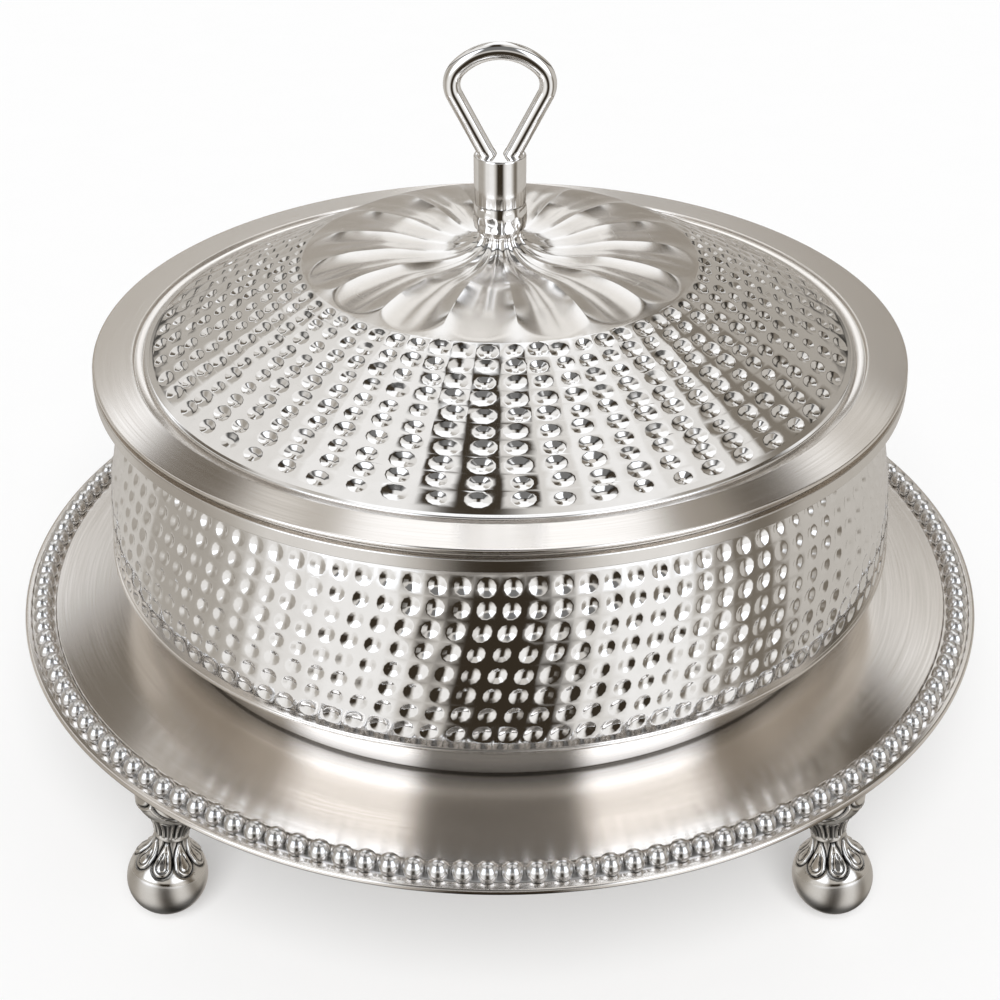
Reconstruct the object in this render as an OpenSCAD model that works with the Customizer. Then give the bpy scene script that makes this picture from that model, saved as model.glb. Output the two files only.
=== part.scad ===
// Covered serving dish: a domed lid with a loop handle over a hammered bowl,
// standing on a beaded tray with four ball feet. Millimetres, +Z up.
// The origin is on the floor, under the middle of the tray.

/* [Tray] */
// Diameter over the tray's outer edge
tray_d = 380; // [360:1:420]
// Height of the tray's flat top above the floor
tray_top = 77; // [70:1:90]
// Thickness of the tray sheet
tray_t = 2.2; // [1.8:0.1:4]
// Width of the raised lip round the tray's edge
lip_w = 2.4; // [1.5:0.1:4]
// Depth of the ledge that carries the beads
ledge_depth = 1; // [0.5:0.1:1.2]
// Width of the ledge that carries the beads
ledge_w = 9.2; // [8.6:0.1:12]

/* [Beads] */
// Number of beads in the border
bead_n = 148; // [100:1:148]
// Diameter of one bead
bead_d = 7.6; // [5:0.1:7.6]
// How far each bead is sunk below its own middle
bead_sink = 1.7; // [0.5:0.1:2.5]
// Width of the strip that joins the beads
bead_strip_w = 5; // [3:0.1:6]
// Thickness of the strip that joins the beads
bead_strip_t = 0.4; // [0.3:0.1:0.8]

/* [Feet] */
// How far each ball's middle lies inside the tray's edge
foot_inset = 17.1; // [15:0.1:30]
// Outward lean of the feet in degrees
foot_splay = 13; // [0:1:16]
// Radius of the ball
ball_r = 14.6; // [12:0.1:17]
// Depth of the flat under the ball
ball_flat = 0.4; // [0.2:0.1:1]
// Radius of the foot's waist
foot_waist_r = 6.2; // [5:0.1:8]
// Height of the waist above the ball's middle
foot_waist_h = 17.5; // [16:0.5:22]
// Radius of the hollow curve under the foot's cup
cup_hollow_r = 14; // [12:0.5:16]
// Radius of the round shoulder of the foot's cup
cup_round_r = 8; // [6:0.5:10]
// Radius of the stud that holds a foot
stud_r = 3; // [2:0.1:3.5]
// Length of the stud below the tray
stud_h = 18; // [8:1:24]
// Radius of the stud's welded flange
stud_flange_r = 6; // [4:0.1:8]
// Thickness of the stud's welded flange
stud_flange_t = 1.2; // [0.8:0.1:2]

/* [Dish] */
// Inner radius of the food bowl, which the wall, the brim and the dome follow
bowl_r = 133; // [120:0.5:140]
// How far the hammered wall stands out from the bowl
wall_out = 19.5; // [18:0.1:24]
// Radius of the wall's upright curve
wall_arc_r = 160; // [150:1:220]
// Height of the folded seam under the wall, above the tray
seam_h = 24; // [18:0.5:30]
// Height of the wall's top edge, above the tray
wall_top = 88; // [80:0.5:92]
// Sheet thickness of the jacket and the base
jacket_t = 1.2; // [0.8:0.1:1.5]
// Height of the top of the dish's flange, above the tray
flange_top = 97; // [95:0.1:104]
// How far the hanging collar stands out from the bowl
collar_out = 18; // [14:0.1:24]
// Depth of the collar
collar_h = 4.8; // [3:0.1:7]
// How far the smooth base band stands in from the wall
base_inset = 14.5; // [8:0.5:22]
// Height of the smooth base band
base_band_h = 10; // [6:0.5:14]
// Depth of the recess under the base
base_recess = 2; // [1:0.1:4]
// Radius of the food bowl's bottom corner
bowl_corner_r = 16; // [8:1:30]
// Height of the food bowl's floor, above the tray
bowl_floor = 6; // [5:0.5:12]
// Sheet thickness of the food bowl
bowl_t = 0.8; // [0.6:0.1:1.2]
// How far the food bowl's rim stops inside the collar
bowl_rim_inset = 3; // [2:0.1:6]

/* [Lid] */
// How far the brim stops inside the collar
brim_inset = 0.3; // [0:0.1:1]
// Thickness of the brim
brim_t = 2.4; // [2:0.1:4]
// Width of the groove round the dome
groove_w = 3.6; // [2:0.1:6]
// Thickness of the floor under the groove
groove_floor_t = 1; // [0.6:0.1:1.4]
// How far the dome's edge lies inside the bowl's mouth
dome_inset = 0.6; // [0.5:0.1:4]
// Sheet thickness of the dome
dome_t = 1.2; // [0.8:0.1:1.6]
// Height of the ridge round the dome's edge
hem_h = 0.8; // [0.6:0.1:1.4]
// Width of the ridge round the dome's edge
hem_w = 3; // [2.5:0.1:5]
// Slope of the hammered field in degrees
field_slope = 27; // [24:0.5:29]
// Radius at which the field would meet the crown
crown_r = 62.9; // [58:0.1:68]
// Slope of the crown in degrees
crown_slope = 1.5; // [0.5:0.1:3]
// Length of the rounding on each side of the crown's edge
shoulder_len = 12; // [6:0.5:16]
// Wall of the locating skirt
skirt_t = 1; // [0.8:0.1:1.5]
// Drop of the locating skirt below the brim
skirt_h = 8; // [5:0.5:14]
// Width of the skirt's welded flange
skirt_flange_w = 5; // [3:0.5:5]

/* [Flutes] */
// Number of flutes in the crown
flute_n = 17; // [12:1:18]
// Turn of the first ridge from the front, in degrees
flute_turn = 5; // [0:0.5:20]
// Radius at which a flute's valley runs out
flute_end = 72; // [68:0.5:76]
// How far the ridges stop short of the valleys
flute_scallop = 7; // [3:0.5:10]
// Depth of a flute, as a share of its distance from the axis
flute_share = 0.043; // [0.02:0.001:0.06]
// Slope of a flute's rounded end
flute_run = 0.15; // [0.1:0.01:0.6]
// Height of the crease along each valley, as a share of the flute's depth
flute_crease = 0.25; // [0:0.05:0.5]
// Radius inside which the flutes keep their depth and become folds
fold_r = 24; // [16:1:30]
// How far the crown dips round the neck
neck_dip = 5; // [2:0.5:7]
// Radius at which the dip starts
dip_r = 30; // [26:1:40]

/* [Handle] */
// Radius of the neck's waist
neck_r = 8.1; // [7:0.1:9]
// Radius of the flare at the foot of the neck
neck_flare_r = 6; // [3:0.1:8]
// Height of the neck above its flare
neck_h = 5.3; // [3:0.1:8]
// Radius of the neck ring's ends
ring_r = 9.4; // [8.5:0.1:10.5]
// Bulge of the neck ring
ring_bulge = 0.5; // [0.2:0.1:1]
// Height of the neck ring
ring_h = 8.9; // [6:0.1:12]
// Radius of the handle socket
socket_r = 9.4; // [8:0.1:10.5]
// Height of the handle socket
socket_h = 18; // [14:0.5:24]
// Bevel on the socket's edges
socket_bevel = 0.6; // [0.3:0.1:1]
// Radius of the handle's wire
wire_r = 3.05; // [2.5:0.05:3.4]
// Half the distance between the legs at the socket's top
leg_x = 4.6; // [4.2:0.1:5.2]
// Lean of the legs in degrees
leg_lean = 28; // [24:0.5:32]
// Depth of the legs in the socket
leg_depth = 2; // [1:0.1:2.2]
// Height of the loop's widest place above the socket
loop_mid_h = 24.8; // [20:0.1:30]
// Bend radius at the loop's sides, on the wire's middle line
side_bend_r = 8; // [6:0.1:9]
// Height of the loop's top above its widest place, on the wire's middle line
loop_rise = 11.6; // [10:0.1:13]
// Radius of the handle screw
screw_r = 3; // [2:0.1:3.5]
// Depth of the screw in the socket
screw_depth = 12; // [6:0.5:12]
// Radius of the screw's head
head_r = 5.5; // [4:0.1:7]
// Thickness of the screw's head
head_t = 3.4; // [2:0.1:5]
// Radius of the washer
washer_r = 9; // [7.5:0.1:11]
// Thickness of the washer
washer_t = 1.5; // [1:0.1:2.5]

/* [Fits] */
// Gap between pieces that only rest on each other
seat_gap = 0.1; // [0.05:0.05:0.3]
// Gap round pieces that slide into each other
slide_gap = 0.5; // [0.3:0.1:1]
// Gap round screws, studs and legs
pin_gap = 0.1; // [0.05:0.05:0.3]

/* [Hidden] */
$fn = 96;
far = 1000;

// Heights of the stacked pieces above the floor
tray_under = tray_top - tray_t;
dish_z = tray_top + seat_gap;
bowl_rim_z = dish_z + flange_top;
brim_z = bowl_rim_z + bowl_t + seat_gap;
hem_z = brim_z + groove_floor_t;
field_z = hem_z + hem_h;

// Radii that follow the bowl's mouth
wall_r = bowl_r + wall_out;
base_r = wall_r - base_inset;
collar_r = bowl_r + collar_out;
bowl_rim_r = collar_r - bowl_rim_inset;
brim_r = collar_r - brim_inset;
dome_r = bowl_r - dome_inset;
groove_r = dome_r + groove_w;

// Ledge and beads
tray_r = tray_d / 2;
ledge_out = tray_r - lip_w;
ledge_in = ledge_out - ledge_w;
ledge_z = tray_top - ledge_depth;
bead_ring_r = (ledge_in + ledge_out) / 2;
bead_r = bead_d / 2;
lip_round = (tray_t - ledge_depth) * 0.9;

// Foot curves: the ball's middle is the start of the foot's own axis
foot_reach = tray_r - foot_inset;
ball_z = ball_r - ball_flat;
hollow_r = (pow(foot_waist_r, 2) + pow(foot_waist_h, 2) - pow(ball_r, 2)) / (2 * (ball_r - foot_waist_r));
ball_end_a = atan2(foot_waist_h, foot_waist_r + hollow_r);
waist_len = 1.5;
cup_turn = 50;
cup_mid = [foot_waist_r + cup_hollow_r, foot_waist_h + waist_len];
cup_join = cup_mid + cup_hollow_r * [cos(180 - cup_turn), sin(180 - cup_turn)];
cup_round_mid = cup_join + cup_round_r * [cos(180 - cup_turn), sin(180 - cup_turn)];
cup_r = cup_round_mid[0] + cup_round_r;
foot_top_reach = foot_reach - (tray_under - ball_z) * tan(foot_splay);
front_left_a = 225;
front_right_a = 315;
back_left_a = 135;
back_right_a = 45;

// Jacket curve
wall_mid = [wall_r - wall_arc_r, dish_z + seam_h];
wall_top_a = asin((wall_top - seam_h) / wall_arc_r);
jacket_top_r = wall_mid[0] + wall_arc_r * cos(wall_top_a);

// Dome section: the field's straight line, a round shoulder, the crown's straight line
edge_r = dome_r - hem_w / 2;
crown_z = field_z + (edge_r - crown_r) * tan(field_slope);
shoulder_r = shoulder_len / tan((field_slope - crown_slope) / 2);
shoulder_in = [crown_r - shoulder_len * cos(crown_slope), crown_z + shoulder_len * sin(crown_slope)];
shoulder_out_r = crown_r + shoulder_len * cos(field_slope);
shoulder_mid = shoulder_in - shoulder_r * [sin(crown_slope), cos(crown_slope)];
crown_top = crown_z + crown_r * tan(crown_slope);
neck_foot_r = neck_r + neck_flare_r;
neck_foot = crown_top - neck_dip;
neck_low = base_z(neck_foot_r) - flute_share * fold_r;
neck_top = neck_low + neck_flare_r + neck_h;
pad_z = neck_foot - dome_t - 1.6;
pad_r = washer_r + 0.8;

// Flutes
flute_in = neck_r - 1;
flute_steps = 6;
flute_bands = 9;
turn_steps = flute_n * flute_steps;
ring_last = flute_bands + 2;

// Handle
ring_z = neck_top;
socket_z = ring_z + ring_h;
socket_top = socket_z + socket_h;
loop_mid_z = socket_top + loop_mid_h;
leg_top_h = loop_mid_h - side_bend_r * sin(leg_lean);
side_mid_x = leg_x + leg_top_h * tan(leg_lean) - side_bend_r * cos(leg_lean);
loop_d = (pow(side_mid_x, 2) - pow(loop_rise - side_bend_r, 2)) / (2 * (loop_rise - side_bend_r));
top_bend_r = loop_rise + loop_d;
top_mid_z = loop_mid_z - loop_d;
top_half_a = atan2(side_mid_x, loop_d);
leg_len = (leg_top_h + leg_depth) / cos(leg_lean);
head_z = pad_z - washer_t - head_t;
screw_top = socket_z + screw_depth;
slot_w = 1.4;
braze = 0.03;
slot_depth = 1.6;

// Points on a round stretch of an outline
function arc_pts(mid, r, a0, a1, n = 12) =
    [for (i = [0:n]) mid + r * [cos(a0 + (a1 - a0) * i / n), sin(a0 + (a1 - a0) * i / n)]];

// Solid of revolution round the vertical axis
module turned(points) {
    rotate_extrude($fn = 180) polygon(points);
}

// Flat pressed plate with a sunk ledge and a rounded lip
module tray_plate() {
    color("Silver") turned(concat(
        [[0, tray_under], [tray_r - lip_round, tray_under]],
        arc_pts([tray_r - lip_round, tray_under + lip_round], lip_round, -90, 0, 6),
        arc_pts([tray_r - lip_round, tray_top - lip_round], lip_round, 0, 90, 6),
        [[ledge_out, tray_top], [ledge_out, ledge_z], [ledge_in, ledge_z], [ledge_in, tray_top], [0, tray_top]]
    ));
}

// Ring of beads on one strip, flat underneath
module bead_border() {
    color("Gainsboro") intersection() {
        union() {
            turned([
                [bead_ring_r - bead_strip_w / 2, ledge_z],
                [bead_ring_r + bead_strip_w / 2, ledge_z],
                [bead_ring_r + bead_strip_w / 2, ledge_z + bead_strip_t],
                [bead_ring_r - bead_strip_w / 2, ledge_z + bead_strip_t]
            ]);
            for (i = [0:bead_n - 1])
                rotate([0, 0, (i + 0.5) * 360 / bead_n - 90])
                    translate([bead_ring_r, 0, ledge_z + bead_r - bead_sink])
                        sphere(r = bead_r, $fn = 24);
        }
        translate([-far / 2, -far / 2, ledge_z]) cube([far, far, far]);
    }
}

// Outline of a foot round its own axis: ball, waist and bell-shaped cup
function foot_outline() = concat(
    arc_pts([0, 0], ball_r, -90, ball_end_a, 18),
    arc_pts([foot_waist_r + hollow_r, foot_waist_h], hollow_r, 180 + ball_end_a, 180, 8),
    arc_pts(cup_mid, cup_hollow_r, 180, 180 - cup_turn, 8),
    arc_pts(cup_round_mid, cup_round_r, -cup_turn, 0, 6),
    [[cup_r, 2 * tray_top], [0, 2 * tray_top]]
);

module stud_at(angle, grow, length) {
    rotate([0, 0, angle]) translate([foot_top_reach, 0, tray_under - length])
        cylinder(r = stud_r + grow, h = length);
    rotate([0, 0, angle]) translate([foot_top_reach, 0, tray_under - stud_flange_t - grow])
        cylinder(r = stud_flange_r + grow, h = stud_flange_t + grow);
}

// One leaning ball foot, level at the floor and under the tray, bored for its stud
module foot(angle) {
    color("DarkGray") difference() {
        intersection() {
            rotate([0, 0, angle]) translate([foot_reach, 0, ball_z]) rotate([0, -foot_splay, 0])
                turned(foot_outline());
            translate([-far / 2, -far / 2, 0]) cube([far, far, tray_under]);
        }
        stud_at(angle, pin_gap, stud_h + pin_gap);
    }
}

module foot_front_left() {
    foot(front_left_a);
}

module foot_front_right() {
    foot(front_right_a);
}

module foot_back_left() {
    foot(back_left_a);
}

module foot_back_right() {
    foot(back_right_a);
}

// Studs welded under the tray, one in the bore of each foot
module foot_studs() {
    color("DimGray") for (angle = [front_left_a, front_right_a, back_left_a, back_right_a])
        stud_at(angle, 0, stud_h);
}

// Hammered wall, flange and hanging collar in one sheet
module dish_jacket() {
    flange_under = bowl_rim_z - jacket_t;
    color("Silver") turned(concat(
        arc_pts(wall_mid, wall_arc_r, 0, wall_top_a, 16),
        [
            [jacket_top_r, flange_under],
            [collar_r - jacket_t, flange_under],
            [collar_r - jacket_t, bowl_rim_z - collar_h],
            [collar_r, bowl_rim_z - collar_h],
            [collar_r, bowl_rim_z - jacket_t / 2],
            [collar_r - jacket_t / 2, bowl_rim_z],
            [jacket_top_r - jacket_t, bowl_rim_z]
        ],
        arc_pts(wall_mid, wall_arc_r - jacket_t, wall_top_a, 0, 16)
    ));
}

// Pan under the wall: smooth base band, sloping underside and folded seam
module dish_base() {
    seam_z = dish_z + seam_h;
    fold = 0.7;
    slope_r = wall_r - base_r;
    color("DarkGray") turned([
        [0, dish_z + base_recess],
        [base_r - 6, dish_z + base_recess],
        [base_r - 5, dish_z],
        [base_r - 1, dish_z],
        [base_r, dish_z + 1],
        [base_r, dish_z + base_band_h],
        [base_r + slope_r * 0.5, dish_z + base_band_h + (seam_h - base_band_h) * 0.4],
        [wall_r, seam_z - jacket_t],
        [wall_r + fold, seam_z - jacket_t],
        [wall_r + fold, seam_z],
        [wall_r - 2 * jacket_t, seam_z],
        [base_r + slope_r * 0.5 - jacket_t, dish_z + base_band_h + (seam_h - base_band_h) * 0.4 + jacket_t],
        [base_r - jacket_t, dish_z + base_band_h + jacket_t],
        [base_r - jacket_t, dish_z + base_recess + jacket_t],
        [0, dish_z + base_recess + jacket_t]
    ]);
}

// Plain drawn bowl that holds the food, hung by its rim on the flange
module dish_bowl() {
    floor_z = dish_z + bowl_floor;
    corner = [bowl_r - bowl_corner_r, floor_z + bowl_corner_r];
    color("LightGray") turned(concat(
        [[0, floor_z - bowl_t]],
        arc_pts(corner, bowl_corner_r + bowl_t, -90, 0, 8),
        [
            [bowl_r + bowl_t, bowl_rim_z],
            [bowl_rim_r, bowl_rim_z],
            [bowl_rim_r, bowl_rim_z + bowl_t],
            [bowl_r, bowl_rim_z + bowl_t]
        ],
        arc_pts(corner, bowl_corner_r, 0, -90, 8),
        [[0, floor_z]]
    ));
}

// Drop of the crown towards the neck
function dip(r) = neck_dip * pow(max(0, dip_r - max(r, neck_foot_r)) / (dip_r - neck_foot_r), 2);

// Height of the dome's face without flutes
function base_z(r) =
    r < shoulder_in[0] ? crown_z + (crown_r - r) * tan(crown_slope) - dip(r)
    : r < shoulder_out_r ? shoulder_mid[1] + sqrt(pow(shoulder_r, 2) - pow(r - shoulder_mid[0], 2))
    : field_z + (edge_r - r) * tan(field_slope);

// Place across a flute: -1 and 1 on its ridges, 0 in its valley
function across(i) = 2 * (i % flute_steps) / flute_steps - 1;

// Radius at which a flute ends, which draws the scalloped line round the crown
function flute_reach(u) = flute_end - flute_scallop * u * u;

// Depth of a flute below the plain face
function flute_depth(r, u) = max(0, min(
    flute_share * max(r, fold_r) * (1 - u * u - flute_crease * max(0, 1 - 3 * abs(u))),
    flute_run * (flute_reach(u) - r)
));

// Radius of one ring of the dome's mesh
function ring_at(j, u) =
    j <= flute_bands ? flute_in + (flute_reach(u) - flute_in) * j / flute_bands
    : j == ring_last ? edge_r + hem_w / 8
    : shoulder_out_r + 4;

function dome_pt(j, i, drop) = let (
    u = across(i),
    r = ring_at(j, u),
    a = i * 360 / turn_steps + flute_turn - 90,
    z = max(base_z(r) - flute_depth(r, u) - drop, hem_z + hem_h / 8)
) [r * cos(a), r * sin(a), z];

// Two triangles between neighbouring places on two rings of points
function band(p, q) = [for (i = [0:turn_steps - 1]) let (k = (i + 1) % turn_steps)
    each [[p + i, q + i, q + k], [p + i, q + k, p + k]]];

// Sheet of the dome: an upper and a lower face, closed at the neck and at the edge
module dome_sheet() {
    upper = [for (j = [0:ring_last]) for (i = [0:turn_steps - 1]) dome_pt(j, i, 0)];
    lower = [for (j = [0:ring_last]) for (i = [0:turn_steps - 1]) dome_pt(j, i, dome_t)];
    under = len(upper);
    polyhedron(
        points = concat(upper, lower),
        faces = concat(
            [for (j = [0:ring_last - 1]) each band((j + 1) * turn_steps, j * turn_steps)],
            [for (j = [0:ring_last - 1]) each band(under + j * turn_steps, under + (j + 1) * turn_steps)],
            band(0, under),
            band(under + ring_last * turn_steps, ring_last * turn_steps)
        ),
        convexity = 8
    );
}

// Fluted and hammered dome with its edge ridge and the neck under the handle
module lid_dome() {
    color("Silver") difference() {
        union() {
            dome_sheet();
            turned([
                [dome_r - hem_w, hem_z],
                [dome_r, hem_z],
                [dome_r, field_z - hem_h / 2],
                [dome_r - hem_w / 4, field_z],
                [dome_r - hem_w / 2, field_z],
                [dome_r - hem_w, field_z]
            ]);
            turned(concat(
                [[0, pad_z], [pad_r, pad_z], [pad_r, neck_low - dome_t / 2]],
                arc_pts([neck_foot_r, neck_low + neck_flare_r], neck_flare_r, 270, 180, 8),
                [[ring_r, neck_top], [0, neck_top]]
            ));
        }
        translate([0, 0, pad_z - 1]) cylinder(r = screw_r + pin_gap, h = neck_top - pad_z + 2);
    }
}

// Flat brushed ring with a rolled edge and a groove for the dome
module lid_brim() {
    top = brim_z + brim_t;
    edge = brim_t * 0.3;
    color("Gainsboro") turned(concat(
        [[dome_r - hem_w, brim_z], [bowl_rim_r, brim_z], [brim_r - edge, top - 2 * edge]],
        arc_pts([brim_r - edge, top - edge], edge, -90, 90, 8),
        arc_pts([groove_r + edge, top - edge], edge, 90, 180, 4),
        [[groove_r, hem_z], [dome_r - hem_w, hem_z]]
    ));
}

// Ring under the brim that centres the lid in the bowl's mouth
module lid_skirt() {
    out = bowl_r - slide_gap;
    color("LightGray") turned([
        [out - skirt_flange_w, brim_z - skirt_t],
        [out - skirt_t, brim_z - skirt_t],
        [out - skirt_t, brim_z - skirt_h],
        [out, brim_z - skirt_h],
        [out, brim_z],
        [out - skirt_flange_w, brim_z]
    ]);
}

// Bulged ring between the neck and the socket
module neck_ring() {
    bore = screw_r + pin_gap;
    bow_r = (pow(ring_h / 2, 2) + pow(ring_bulge, 2)) / (2 * ring_bulge);
    half_a = asin(ring_h / 2 / bow_r);
    color("Silver") turned(concat(
        arc_pts([ring_r + ring_bulge - bow_r, ring_z + ring_h / 2], bow_r, -half_a, half_a, 8),
        [[bore, ring_z + ring_h], [bore, ring_z]]
    ));
}

// Both halves of what is made twice, left and right
module both_sides() {
    children();
    mirror([1, 0, 0]) children();
}

// One straight leg of the loop, from its side bend down into the socket
module leg(r, length) {
    translate([leg_x + leg_top_h * tan(leg_lean), 0, socket_top + leg_top_h])
        rotate([0, 180 + leg_lean, 0]) cylinder(r = r, h = length, $fn = 48);
}

// Bevelled cylinder, bored from below for the screw and from above for the legs
module handle_socket() {
    color("WhiteSmoke") difference() {
        turned([
            [0, socket_z],
            [socket_r - socket_bevel, socket_z],
            [socket_r, socket_z + socket_bevel],
            [socket_r, socket_top - socket_bevel],
            [socket_r - socket_bevel, socket_top],
            [0, socket_top]
        ]);
        translate([0, 0, socket_z - 1]) cylinder(r = screw_r + pin_gap, h = screw_depth + pin_gap + 1);
        both_sides() leg(wire_r + pin_gap, leg_len + pin_gap);
    }
}

// Piece of bent wire in the plane of the loop, from angle a0 over a sweep
module wire_bend(x, z, r, a0, sweep) {
    translate([x, 0, z]) rotate([90, 0, 0]) rotate([0, 0, a0])
        rotate_extrude(angle = sweep, $fn = 96) translate([r, 0]) circle(r = wire_r, $fn = 48);
}

// Thin braze ring round the wire where two pieces meet
module wire_join(x, z, r, a) {
    translate([x, 0, z]) rotate([90, 0, 0]) rotate([0, 0, a]) translate([r, 0, 0]) rotate([90, 0, 0])
        cylinder(r = wire_r + braze, h = 4 * braze, center = true, $fn = 48);
}

// Wire loop: two legs, two tight side bends and one wide top bend
module handle_loop() {
    color("WhiteSmoke") union() {
        both_sides() leg(wire_r, leg_len);
        both_sides() wire_bend(side_mid_x, loop_mid_z, side_bend_r, -leg_lean, leg_lean + 90 - top_half_a);
        wire_bend(0, top_mid_z, top_bend_r, 90 - top_half_a, 2 * top_half_a);
        both_sides() wire_join(side_mid_x, loop_mid_z, side_bend_r, -leg_lean);
        both_sides() wire_join(0, top_mid_z, top_bend_r, 90 - top_half_a);
    }
}

// Slotted screw that draws the socket, ring and dome together
module handle_screw() {
    color("DimGray") difference() {
        union() {
            translate([0, 0, head_z]) cylinder(r = head_r, h = head_t);
            translate([0, 0, head_z]) cylinder(r = screw_r, h = screw_top - head_z);
        }
        translate([-far / 2, -slot_w / 2, head_z - 1]) cube([far, slot_w, slot_depth + 1]);
    }
}

module handle_washer() {
    color("DarkGray") translate([0, 0, pad_z - washer_t]) difference() {
        cylinder(r = washer_r, h = washer_t);
        translate([0, 0, -1]) cylinder(r = screw_r + pin_gap, h = washer_t + 2);
    }
}

tray_plate();
bead_border();
foot_front_left();
foot_front_right();
foot_back_left();
foot_back_right();
foot_studs();
dish_jacket();
dish_base();
dish_bowl();
lid_dome();
lid_brim();
lid_skirt();
neck_ring();
handle_socket();
handle_loop();
handle_screw();
handle_washer();
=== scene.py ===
import math

import bmesh
import bpy
import numpy as np
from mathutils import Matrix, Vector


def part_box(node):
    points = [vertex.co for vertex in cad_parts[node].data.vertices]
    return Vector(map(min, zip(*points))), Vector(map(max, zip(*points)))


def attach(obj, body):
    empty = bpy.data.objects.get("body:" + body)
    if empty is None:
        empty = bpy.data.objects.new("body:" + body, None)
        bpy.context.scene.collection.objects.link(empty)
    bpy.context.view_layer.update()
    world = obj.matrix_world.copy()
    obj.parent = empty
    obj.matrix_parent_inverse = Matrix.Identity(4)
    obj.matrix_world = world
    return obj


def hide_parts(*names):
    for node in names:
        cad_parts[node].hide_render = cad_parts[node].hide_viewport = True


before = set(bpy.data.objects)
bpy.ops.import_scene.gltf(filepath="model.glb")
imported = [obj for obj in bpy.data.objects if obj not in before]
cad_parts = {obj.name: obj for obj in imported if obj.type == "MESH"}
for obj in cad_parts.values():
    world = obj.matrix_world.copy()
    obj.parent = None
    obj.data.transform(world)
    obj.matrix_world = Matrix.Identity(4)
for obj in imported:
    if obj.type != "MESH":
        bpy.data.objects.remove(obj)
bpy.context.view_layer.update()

bl_info = {
    "name": "Covered serving dish",
    "version": (1, 0, 0),
    "blender": (4, 5, 0),
    "location": "View3D > Sidebar > Serving dish",
    "description": "Hammered dish and lid with a loop handle, on a beaded tray with ball feet",
    "category": "Object",
}

MM = 0.001
FRONT = -math.pi / 2


def linear(hex_colour):
    """Linear colour of an sRGB hex value."""
    parts = [int(hex_colour[i:i + 2], 16) / 255 for i in (1, 3, 5)]
    return tuple(p / 12.92 if p <= 0.04045 else ((p + 0.055) / 1.055) ** 2.4 for p in parts) + (1.0,)


def low(node):
    """Lowest corner of a CAD node's box, in millimetres."""
    return [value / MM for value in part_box(node)[0]]


def high(node):
    """Highest corner of a CAD node's box, in millimetres."""
    return [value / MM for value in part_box(node)[1]]


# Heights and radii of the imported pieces, in millimetres
TRAY_R, _, TRAY_TOP = high("tray_plate")
TRAY_UNDER = low("tray_plate")[2]
LEDGE_Z = low("bead_border")[2]
DISH_Z = low("dish_base")[2]
SEAM_Z = high("dish_base")[2]
FLANGE_TOP = high("dish_jacket")[2]
BRIM_Z = low("lid_brim")[2]
BRIM_TOP = high("lid_brim")[2]
BRIM_R = high("lid_brim")[0]
HEM_Z = low("lid_brim")[2] + 1.0
RING_Z = low("neck_ring")[2]
RING_TOP = high("neck_ring")[2]
SOCKET_TOP = high("handle_socket")[2]
SOCKET_R = high("handle_socket")[0]

# Tray: lip, sunk ledge for the beads, flat middle
LIP = 2.4
LEDGE_R = TRAY_R - 11.6
BEAD_RING_R = TRAY_R - 7.0

# Dish: base band, and a wall that sweeps round from the seam up to the flange
SHEET = 1.2
BASE_R = 138.0
WALL_R = 152.5
WALL_SWEEP = 160.0
WALL_TOP = DISH_Z + 88.0

# Dome: straight field, round shoulder, nearly level crown
DOME_R = 132.4
EDGE_R = 130.9
FIELD_Z = HEM_Z + 0.8
FIELD_SLOPE = math.radians(27)
CROWN_R = 62.9
CROWN_SLOPE = math.radians(1.5)
SHOULDER = 12.0
CROWN_Z = FIELD_Z + (EDGE_R - CROWN_R) * math.tan(FIELD_SLOPE)
CROWN_TOP = CROWN_Z + CROWN_R * math.tan(CROWN_SLOPE)

# Flutes of the crown, as deep as a share of their radius
FLUTE_END = 72.0
FLUTE_RUN = 44.0
FLUTE_DEPTH = 0.036
FLUTE_SCALLOP = 5.0
FLUTE_TURN = math.radians(5)
FOLD_R = 24.0

# Neck: a flared foot in a dip of the crown, and a bore for the screw
NECK_R = 8.1
NECK_TOP_R = 9.3
NECK_FLARE = 6.0
NECK_SPREAD = 12.0
NECK_DIP = 5.0
DIP_R = 44.0
BORE_R = 3.1

# Feet: ball, waist and bell-shaped cup round an axis that leans inward
FOOT_REACH = TRAY_R - 17.1
FOOT_LEAN = math.radians(13)
BALL_R = 14.6
BALL_Z = 14.2
FEET = {"foot_front_left": 225, "foot_front_right": 315, "foot_back_left": 135, "foot_back_right": 45}


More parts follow.
